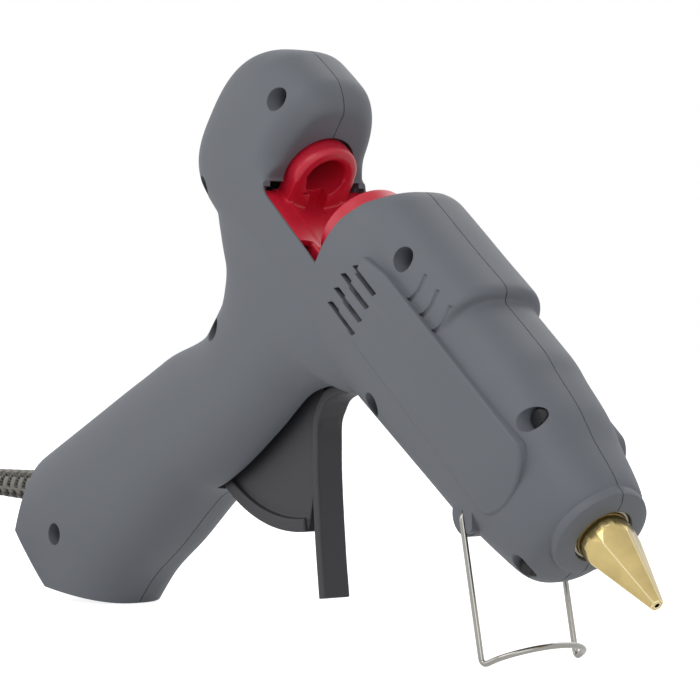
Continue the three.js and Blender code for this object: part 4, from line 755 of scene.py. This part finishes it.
def make_vents(side):
    deep = BODY_HALF - WALL - 0.3
    y0, y1 = sorted((side * deep, side * OUTSIDE))
    vents = []
    for i in range(VENTS):
        z = VENT_Z - i * VENT_PITCH
        low, high = z - VENT_HALF, z + VENT_HALF
        rear = VENT_REAR + (FIRST_VENT_SHORTER if i == 0 else 0)
        front = VENT_FRONT - i * VENT_STEP
        vent = [(rear - VENT_HALF, low), (front - 0.6, low), (front + 0.6, high), (rear + VENT_HALF, high)]
        vents.append(plate("vent", rounded(vent, 0.5, 3), y0, y1))
    return vents


def make_grooves(side):
    grooves = []
    for i in range(GROOVES):
        path = []
        for k in range(13):
            z = GROOVE_Z + GROOVE_RISE * k / 12
            bow = GROOVE_BOW * math.sin(math.pi * k / 12)
            path.append((GROOVE_X + i * GROOVE_PITCH + bow, side * (shoulder_at(z) + 0.15), z))
        grooves.append(swept("groove", path, GROOVE_R, 10))
    return grooves


def make_housing():
    skin = make_skin()
    cavity = cut(hollow("cavity", WALL), hump_face("hump_in", WALL, INNER_SIDES, 16))
    inside = make_inside()
    shell = union(cut(skin, cavity), inside)
    cuts = make_mouths()
    for side in (-1, 1):
        cuts += [sill_groove(side), *make_vents(side), *make_grooves(side)]
    for x, z in SCREWS:
        cuts.append(turned("bore", SCREW_BORE, 48, (0, 1, 0), (x, 0, z)))
        cuts.append(cross_rod("hole", x, z, SCREW_R, SCREW_FROM, SCREW_TO, 24))
    cuts.append(cross_rod("stand_hole", STAND_X, -STAND_DROP, WIRE_HOLE_R, -30, 30, 32))
    shell = cut(shell, *cuts)
    deep, shallow = BODY_HALF - WALL - 0.8, BODY_HALF - 1.7
    shell = union(shell, *[
        box("vent_bar", BAR_REAR, BAR_FRONT, y0, y1, BAR_LOW, BAR_TOP)
        for y0, y1 in ((-shallow, -deep), (deep, shallow))
    ])
    right = shell.copy()
    right.data = shell.data.copy()
    bpy.context.scene.collection.objects.link(right)
    right.name = "right_shell"
    shell.name = "left_shell"
    keep(right, box("right_half", -200, 300, -60, -PARTING, -300, 100))
    keep(shell, box("left_half", -200, 300, PARTING, 60, -300, 100))
    for obj, node in ((right, "right_housing"), (shell, "left_housing")):
        finish_piece(obj, "housing", plastic, node, 32)


LEVEL_BACK, CORD_HEIGHT = Vector((-COS, 0, -SIN)), 0.034


def inner_cord():
    """Where the cord leaves the butt's back face, in the barrel frame."""
    (ux, uz), (lx, lz) = BUTT_CORNERS[0], BUTT_CORNERS[1]
    up, low = stood(ux, 0, uz).z, stood(lx, 0, lz).z
    share = (up - CORD_HEIGHT) / (up - low)
    return Vector((ux + (lx - ux) * share, 0, uz + (lz - uz) * share))


make_housing()


# Feeder, softened as one moulding, with its crisp cuts made last
RING_REAR, RING_FRONT, RING_R, RING_BORE = -20.85, -14.35, 10.6, 6.4
GUARD_REAR, GUARD_FRONT, GUARD_R, GUARD_WALL = 7.7, 25.7, 13.8, 1.9
DRIVE_X = PIVOT_X + (PIVOT_Z + DRIVE_DROP) * math.tan(ARM_LEAN)
TRAY_Z, TRAY_RISE, TRAY_RIM, TRAY_THICK = -10.4, 1.8, 17.3, 2.1
TUBE_LENGTH, TUBE_R, FOOT_HALF = 13, 8.3, 10.35
JAW_HALF, JAW_PIN = 2.9, (17, -11.3)
# Distances from the middle plane: inner and outer face of a runner, a lug and a cheek
RUNNER, LUG, CHEEK = (8.4, 12.8), (5.2, 7.6), (JAW_HALF, 5.3)


def softened(obj, rounds):
    return melted(obj, 0.33, rounds)


def apron(name, x0, x1, half):
    """The tray under the stick: a shallow hollow that runs out to a rim on each side."""
    across = [half * (i / 20 - 1) for i in range(41)]
    top = [(y, TRAY_Z + TRAY_RISE * (1 - math.cos(math.pi * abs(y) / TRAY_RIM))) for y in across]
    outline = top + [(y, z - TRAY_THICK) for y, z in top[::-1]]
    return loft(name, [[(x, y, z) for y, z in outline] for x in (x0, x1)])


def make_feeder():
    ring = turned("feeder", [
        (RING_REAR - TUBE_LENGTH, RING_BORE), (RING_REAR - TUBE_LENGTH, TUBE_R), (RING_REAR, TUBE_R),
        (RING_REAR, RING_R),
        (RING_FRONT - 1.9, RING_R), (RING_FRONT - 0.8, RING_R - 0.35), (RING_FRONT - 0.15, RING_R - 1.1),
        (RING_FRONT, RING_R - 2.1), (RING_FRONT - 0.1, RING_BORE + 1.2), (RING_FRONT - 0.7, RING_BORE + 0.35),
        (RING_FRONT - 1.7, RING_BORE),
    ], 96)
    trough = apron("trough", RING_REAR, GUARD_REAR + 5.7, 12.2)
    foot = cut(box("foot", RING_REAR, RING_FRONT - 0.35, -FOOT_HALF, FOOT_HALF, -RING_R, -0.3),
               rod("foot_bore", RING_REAR - 1, RING_FRONT + 1, RING_BORE, 96))
    guard = turned("guard", [
        (GUARD_REAR + 0.5, GUARD_R - GUARD_WALL), (GUARD_REAR, GUARD_R - GUARD_WALL * 0.7),
        (GUARD_REAR, GUARD_R - 0.6), (GUARD_REAR + 0.6, GUARD_R), (GUARD_FRONT, GUARD_R),
        (GUARD_FRONT, GUARD_R - GUARD_WALL),
    ], 96)
    parts = [trough, foot, guard, apron("ledge", WINDOW_REAR + 0.45, 5.0, 17.2)]
    for side in (-1, 1):
        y0, y1 = sorted(side * y for y in RUNNER)
        parts.append(cut(box("runner", RING_FRONT + 0.3, GUARD_FRONT, y0, y1, -13.8, -8.0),
                         rod("runner_bore", RING_FRONT - 1, GUARD_FRONT + 1, 10.4, 96)))
        y0, y1 = sorted(side * y for y in LUG)
        parts.append(box("lug", DRIVE_X - 4.1, DRIVE_X + 4.1, y0, y1, -20.3, -10.4))
        y0, y1 = sorted(side * y for y in CHEEK)
        parts.append(box("cheek", 14.6, 19.4, y0, y1, -13.5, -9.4))
    body = softened(union(ring, *parts), 5)
    body = cut(
        body,
        box("jaw", 8, 23, -JAW_HALF, JAW_HALF, -14.2, -6.4),
        cross_rod("jaw_pin", *JAW_PIN, 1.4, -8.5, 8.5, 32),
        cross_rod("drive_pin", DRIVE_X, -DRIVE_DROP, 1.8, -20, 20, 32),
        box("slot", RING_FRONT - 4.2, RING_FRONT + 2.0, -3.2, 3.2, -10.3, -5.0),
        box("notch", RING_FRONT - 4.6, RING_FRONT + 1, -6.2, -2.2, -5.3, -4.5),
    )
    finish_piece(body, "feeder", red_plastic, "feed_carriage", 40)


# Trigger: hub, arm, web, rim and finger blade
BLADE = [
    (37.3, -36.6), (31.3, -42.4), (29.3, -47.0), (29.7, -52.0), (35.0, -60.0), (52.7, -79.7), (64.0, -91.0),
]
BLADE_THICK = 3.2
# Across and along the arm, with the fork for the drive pin at its top
ARM = [
    (ARM_HALF, 0), (ARM_HALF, 26.7), (1.8, 26.7), (1.8, 20.8), (-1.8, 20.8), (-1.8, 26.7), (-ARM_HALF, 26.7),
    (-ARM_HALF, 0),
]
PEG_ALONG = 14.7


def on_arm(across, along):
    cos, sin = math.cos(ARM_LEAN), math.sin(ARM_LEAN)
    return (PIVOT_X + across * cos - along * sin, PIVOT_Z + across * sin + along * cos)


def make_trigger():
    front = smoothed(BLADE, 8)
    back = []
    for i, (x, z) in enumerate(front):
        ax, az = front[max(i - 1, 0)]
        bx, bz = front[min(i + 1, len(front) - 1)]
        length = math.hypot(bx - ax, bz - az)
        back.append((x + (bz - az) / length * BLADE_THICK, z - (bx - ax) / length * BLADE_THICK))
    blade = [tuple(p) for p in front] + back[::-1]
    edge = arc(SECTOR_R, SECTOR_FROM, SECTOR_TO, 60)
    rim = [*edge, *arc(SECTOR_R - RIM_WIDTH, SECTOR_FROM, SECTOR_TO, 60)[::-1]]
    web = [*edge, BLADE[3], BLADE[2], pivot_at(4.95, 40), pivot_at(HUB_R, 180)]
    rib = [
        pivot_at(HUB_R, 180), pivot_at(SECTOR_R, SECTOR_FROM), pivot_at(SECTOR_R, -96), pivot_at(HUB_R, -60),
    ]
    arm = [on_arm(across, along) for across, along in ARM]
    px, pz = on_arm(0, PEG_ALONG)
    body = union(
        cross_rod("trigger_form", PIVOT_X, PIVOT_Z, HUB_R, -TRIGGER_HALF, TRIGGER_HALF, 64),
        plate("web", web, -3, 3),
        *[plate("band", band, -TRIGGER_HALF, TRIGGER_HALF) for band in (rim, rib, blade)],
        plate("arm", arm, -ARM_HALF, ARM_HALF),
        cross_rod("peg", px, pz, 1.2, 3.9, 10.6, 32),
    )
    body = softened(body, 4)
    body = cut(body, cross_rod("hole", PIVOT_X, PIVOT_Z, 2.3, -20, 20, 48))
    finish_piece(body, "trigger", black_plastic, "trigger", 40)


# Nozzle: a cone with six flats, and the thread's stub behind it
STUB_X, CONE_X, HEX_BASE, TIP = 116.3, 128.3, COLLAR_END + 3.0, NOSE_X + 29.8 - 0.65
CONE_R, THREAD_R, STUB_R, OUTLET_R, CHANNEL_R = 7.25, 6.9, 4.3, 0.75, 2.2
# Along the stick axis, and half the width over two flats
HEX = [(115, 9), (139, 9), (HEX_BASE - 0.6, 7.2), (TIP + 0.3, 1.58)]


def make_nozzle():
    body = turned("nozzle_form", [
        (STUB_X, CHANNEL_R), (STUB_X, STUB_R), (CONE_X, STUB_R), (CONE_X, THREAD_R), (CONE_X + 0.4, CONE_R),
        (147, CONE_R), (TIP - 0.25, 1.95), (TIP, 1.68), (TIP, OUTLET_R), (TIP - 5.25, OUTLET_R),
        (TIP - 10.5, CHANNEL_R),
    ], 144)
    rings = []
    for x, flats in HEX:
        corner = flats / math.cos(math.pi / 6)
        turns = [math.pi * k / 3 + math.pi / 6 for k in range(6)]
        rings.append([(x, corner * math.cos(t), corner * math.sin(t)) for t in turns])
    body = bevelled(keep(body, loft("taper", rings)), 0.12, 2, 20)
    finish_piece(body, "housing", brass, "nozzle", 18)


# Stand: one wire, in at both lugs, down two legs and through a bow that rises between them
WIRE_R, WIRE_BEND = 0.8, 2.2
BOW_RISE, BOW_SQUARENESS, BOW_WAY = 12.5, 0.45, Vector((0.45, 0, 0.893))


def make_stand():
    foot_x, foot_z = STAND_X + LEG_LENGTH * math.cos(LEAN), -STAND_DROP - LEG_LENGTH * math.sin(LEAN)
    corners = [
        (STAND_X, LUG_INNER, -STAND_DROP), (STAND_X, STAND_HALF, -STAND_DROP), (foot_x, STAND_HALF, foot_z),
    ]
    points = [Vector(p) for p in corners]
    for i in range(1, 24):
        share = i / 24
        up = BOW_RISE * math.sin(math.pi * share) ** BOW_SQUARENESS
        points.append(Vector((foot_x, STAND_HALF * (1 - 2 * share), foot_z)) + BOW_WAY * up)
    points += [Vector((x, -y, z)) for x, y, z in reversed(corners)]
    path = [points[0]]
    for a, b, c in zip(points, points[1:], points[2:]):
        if (b - a).angle(c - b) < 0.35:
            path.append(b)
        else:
            reach = min(WIRE_BEND, (a - b).length / 2.1, (c - b).length * 0.9)
            path += turned_corner(a, b, c, reach, 8)
    path.append(points[-1])
    wire = swept("stand_form", path, WIRE_R, 16)
    finish_piece(wire, "stand", steel, "wire_stand", 60)


# Strain relief: a tapered rubber sleeve with slots all round, in two sets that stand half a pitch apart
RELIEF_LENGTH, RELIEF_R, RELIEF_TAPER, RELIEF_AROUND, RELIEF_ROWS = 48.0, 5.7, 1.4, 96, 220
SLOT_PITCH, SLOT_DEEP, SLOT_HALF, SLOT_EDGE, SLOT_END = 5.2, 2.1, 0.23, 0.045, 4
# The sets: middle and half the arc in degrees, shift in pitches, slant
SLOT_SETS = ((22, 30, 0.0, 0.5), (-38, 13, 0.5, 0.0))
# The collar held in the housing's wall
RELIEF_COLLAR = [(-10.0, 5.7), (-7.6, 5.7), (-7.5, 7.6), (-5.3, 7.6), (-5.2, 5.7)]


def slot_depth(along, angle):
    """How much of its full depth a slot has at a place on the sleeve."""
    if along < 1.4 or along > RELIEF_LENGTH - 3:
        return 0.0
    depth = 0.0
    for first, width, shift, slant in SLOT_SETS:
        for turn in (0, 90, 180, 270):
            off = (math.degrees(angle) - first - turn + 180) % 360 - 180
            if abs(off) > width + SLOT_END:
                continue
            place = ((along + slant * off / 30) / SLOT_PITCH + shift) % 1 - 0.5
            across = clamped((SLOT_HALF - abs(place)) / SLOT_EDGE)
            depth = max(depth, across * clamped((width + SLOT_END - abs(off)) / 5))
    return depth


def sleeve_radius(along, angle):
    radius = RELIEF_R - RELIEF_TAPER * max(0.0, along) / RELIEF_LENGTH - SLOT_DEEP * slot_depth(along, angle)
    return radius - 0.6 * max(0.0, along - RELIEF_LENGTH + 0.8)


def make_relief():
    entry, axis = inner_cord(), LEVEL_BACK
    side, up = Vector((0, 1, 0)), Vector((axis.z, 0, -axis.x))
    sleeve = [(-5.1 + (RELIEF_LENGTH + 5.1) * i / RELIEF_ROWS, None) for i in range(RELIEF_ROWS + 1)]
    rings = []
    for along, radius in RELIEF_COLLAR + sleeve:
        ring = []
        for k in range(RELIEF_AROUND):
            angle = 2 * math.pi * k / RELIEF_AROUND
            r = sleeve_radius(along, angle) if radius is None else radius
            ring.append(entry + axis * along + (side * -math.cos(angle) + up * math.sin(angle)) * r)
        rings.append(ring)
    first, last = ([entry + axis * along] * RELIEF_AROUND for along in (RELIEF_COLLAR[0][0], RELIEF_LENGTH))
    body = loft("relief_form", [first, *rings, last], closed=False)
    weld = body.modifiers.new("weld", "WELD")
    weld.merge_threshold = 0.0005
    apply_all(body)
    # Painted shade: faces sunk deep in the slots take the near-black slot material
    deep = []
    for polygon in body.data.polygons:
        away = polygon.center - entry
        along = away.dot(axis)
        radius = (away - axis * along).length
        surface_r = RELIEF_R - RELIEF_TAPER * along / RELIEF_LENGTH
        deep.append(1 if 0 < along < RELIEF_LENGTH - 1 and radius < surface_r - 1.0 else 0)
    finish_piece(body, "housing", relief_rubber, "strain_relief", 40)
    body.data.materials.append(slot_painted_shade)
    body.data.polygons.foreach_set("material_index", deep)


make_feeder()
make_trigger()
make_nozzle()
make_stand()
make_relief()


# Free cord: the route of the CAD source
CORD_R, FIT = 3.4, 0.3
# Hank: radius of the inner fold, length of the straights, pitch of turns and layers, and the counts
FOLD_R, RUN, PITCH, CLIMB, PER_LAYER, LAYERS, TURNS = 19.6, 56, 7.5, 7.4, 1.5, 4, 5.5
TO_HANK, DRAWN_IN, PLUG_AHEAD, PLUG_ASIDE, PLUG_HEIGHT = 61.5, 4, 47, 13.5, 6.8


def side_step(start, end, steps):
    """A bend aside between two level straights, as two equal arcs."""
    aside = Vector((0, end.y - start.y, end.z - start.z))
    run, shift = abs(end.x - start.x), aside.length
    radius = (run**2 + shift**2) / (4 * shift)
    points = []
    for i in range(steps + 1):
        share = i / steps
        near = min(share, 1 - share) * run
        moved = radius - math.sqrt(radius**2 - near**2)
        moved = moved if share < 0.5 else shift - moved
        point = start + aside * (moved / shift)
        point.x = start.x + (end.x - start.x) * share
        points.append(point)
    return points


def cord_route():
    """From the relief's tip to the floor, through the hank and its waist in the tie, to the plug; in metres."""
    tip = STAND_UP @ inner_cord() / MM - Vector((RELIEF_LENGTH + FIT, 0, 0))
    outer = FOLD_R + PITCH * PER_LAYER
    centre_x = tip.x - TO_HANK - RUN / 2
    mean = (FOLD_R + outer) / 2
    loop = 2 * RUN + 2 * math.pi * mean
    half_run, fold_share = RUN / 2 / loop, math.pi * mean / loop
    centre_y = BODY_HALF + PAD["proud"] - outer - PITCH * half_run - CORD_R

    def on_loop(turn, radius):
        back_fold = turn - half_run
        other = back_fold - fold_share
        near_fold = other - 2 * half_run
        last = near_fold - fold_share
        if back_fold < 0:
            return turn * loop, radius
        if other < 0:
            t = math.pi * back_fold / fold_share
            return RUN / 2 + radius * math.sin(t), radius * math.cos(t)
        if near_fold < 0:
            return RUN / 2 - other * loop, -radius
        if last < 0:
            t = math.pi * near_fold / fold_share
            return -RUN / 2 - radius * math.sin(t), -radius * math.cos(t)
        return last * loop - RUN / 2, radius

    def hank(turns):
        layer = turns / PER_LAYER
        whole = min(max(math.floor(layer), 0), LAYERS - 1)
        inwards = layer - whole if whole % 2 == 0 else whole + 1 - layer
        nearest = math.floor(layer + 0.5)
        off = (layer - nearest) * PER_LAYER
        climbing = 0 < nearest < LAYERS and abs(off) < half_run
        step = nearest - 1 + (1 - math.cos(math.pi * (off / (2 * half_run) + 0.5))) / 2 if climbing else whole
        along, aside = on_loop(turns - math.floor(turns), outer - PITCH * PER_LAYER * inwards)
        waist = math.cos(math.pi * along / RUN) ** 2 if abs(along) <= RUN / 2 else 0
        drawn = aside - math.copysign(DRAWN_IN * waist, aside)
        z = CORD_R + (LAYERS - 1 - step) * CLIMB + (1.5 * FIT + 1) * waist
        return Vector((centre_x - along, centre_y + drawn, z))

    straight = Vector((2 * CORD_R, 0, 0))
    end = TURNS + half_run
    turns, turn = [], -half_run
    while turn < end:
        turns.append(hank(turn))
        turn += 1 / 24
    tail = hank(end)
    plug_y = centre_y - outer + PITCH / 2 - CORD_R + PLUG_ASIDE
    plug = Vector((tail.x + PLUG_AHEAD - FIT, plug_y, PLUG_HEIGHT))
    entry = turns[0] + straight
    start = Vector((tip.x, 0, tip.z))
    lead = side_step(start - straight, entry + straight + Vector((FIT, 0, 0)), 8)
    points = [start, *lead, entry, *turns, *side_step(tail, plug - straight, 4), plug]
    return [p * MM for p in points]


route = cord_route()
cord = swept("cord", route, CORD_R * MM, 12)
shade(cord, 40)
cord.data.materials.append(rubber)
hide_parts("cord_lead", "cord_hank")
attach(cord, "housing")

# Materials of the CAD nodes that stay
by_slot = {
    "housing": plastic, "feeder": red_plastic, "trigger": black_plastic, "brass": brass, "steel": steel,
    "cast_aluminium": aluminium, "silicone": silicone, "ceramic": ceramic, "cord": rubber,
}
slot_of = {s["node"]: s["material_slot"] for s in frame["record"]["subparts"]}
for name, obj in frame["nodes"].items():
    obj.data.materials.clear()
    obj.data.materials.append(dark_steel if name.startswith("housing_screw") else by_slot[slot_of[name]])


# Floor, backdrop and lamps
PAPER_WHITE, PAPER_GLOW, GLOW_IN_MIRRORS, SOFT_LIGHT = 0.85, 0.85, 0.6, 0.36


def make_floor():
    half, under = 3, -0.0002
    corners = [(-half, -half, under), (half, -half, under), (half, half, under), (-half, half, under)]
    floor = new_object("floor", corners, [(0, 1, 2, 3)])
    material = bpy.data.materials.new("floor_paper")
    material.use_nodes = True
    tree = material.node_tree
    link = tree.links.new
    tree.nodes.clear()
    paper = add_node(tree, "BsdfDiffuse", Color=(PAPER_WHITE, PAPER_WHITE, PAPER_WHITE, 1))
    glow = add_node(tree, "Emission", Strength=PAPER_GLOW)
    path = add_node(tree, "LightPath")
    mirrored = tree.nodes.new("ShaderNodeMath")
    mirrored.operation = "MULTIPLY"
    mirrored.inputs[1].default_value = GLOW_IN_MIRRORS
    link(path.outputs["Is Glossy Ray"], mirrored.inputs[0])
    seen = larger(tree, path.outputs["Is Camera Ray"], mirrored.outputs[0])
    added = add_node(tree, "AddShader")
    link(paper.outputs[0], added.inputs[0])
    link(glow.outputs[0], added.inputs[1])
    mix_output(tree, "Material", seen, paper, added)
    floor.data.materials.append(material)


def make_world():
    world = bpy.data.worlds.new("studio")
    bpy.context.scene.world = world
    world.use_nodes = True
    tree = world.node_tree
    tree.nodes.clear()
    soft = add_node(tree, "Background", Color=(1, 1, 1, 1), Strength=SOFT_LIGHT)
    white = add_node(tree, "Background", Color=(1, 1, 1, 1), Strength=1.0)
    path = add_node(tree, "LightPath")
    seen = larger(tree, path.outputs["Is Camera Ray"], path.outputs["Is Glossy Ray"])
    mix_output(tree, "World", larger(tree, seen, path.outputs["Is Transmission Ray"]), soft, white)


def larger(tree, first, second):
    node = tree.nodes.new("ShaderNodeMath")
    node.operation = "MAXIMUM"
    tree.links.new(first, node.inputs[0])
    tree.links.new(second, node.inputs[1])
    return node.outputs[0]


def mix_output(tree, kind, factor, first, second):
    mix = add_node(tree, "MixShader")
    tree.links.new(factor, mix.inputs[0])
    tree.links.new(first.outputs[0], mix.inputs[1])
    tree.links.new(second.outputs[0], mix.inputs[2])
    tree.links.new(mix.outputs[0], add_node(tree, "Output" + kind).inputs["Surface"])


# Place, size and power
LAMPS = {
    "key": ((0.25, -0.9, 1.1), 0.9, 4.4), "front": ((1.2, -0.5, 0.5), 0.8, 2.2),
    "fill": ((-0.7, -0.9, 0.5), 0.9, 2.0), "back": ((-0.3, 0.9, 0.9), 0.9, 2.6),
}


def make_lamps():
    middle = Vector((0.02, 0, 0.08))
    for name, (at, size, power) in LAMPS.items():
        data = bpy.data.lights.new(name, "AREA")
        data.shape, data.size, data.energy = "DISK", size, power
        lamp = placed(name, data)
        lamp.location = at
        lamp.rotation_mode = "QUATERNION"
        lamp.rotation_quaternion = (Vector(at) - middle).to_track_quat("Z", "Y")


make_floor()
make_world()
make_lamps()
bpy.context.scene.view_settings.view_transform = "Standard"
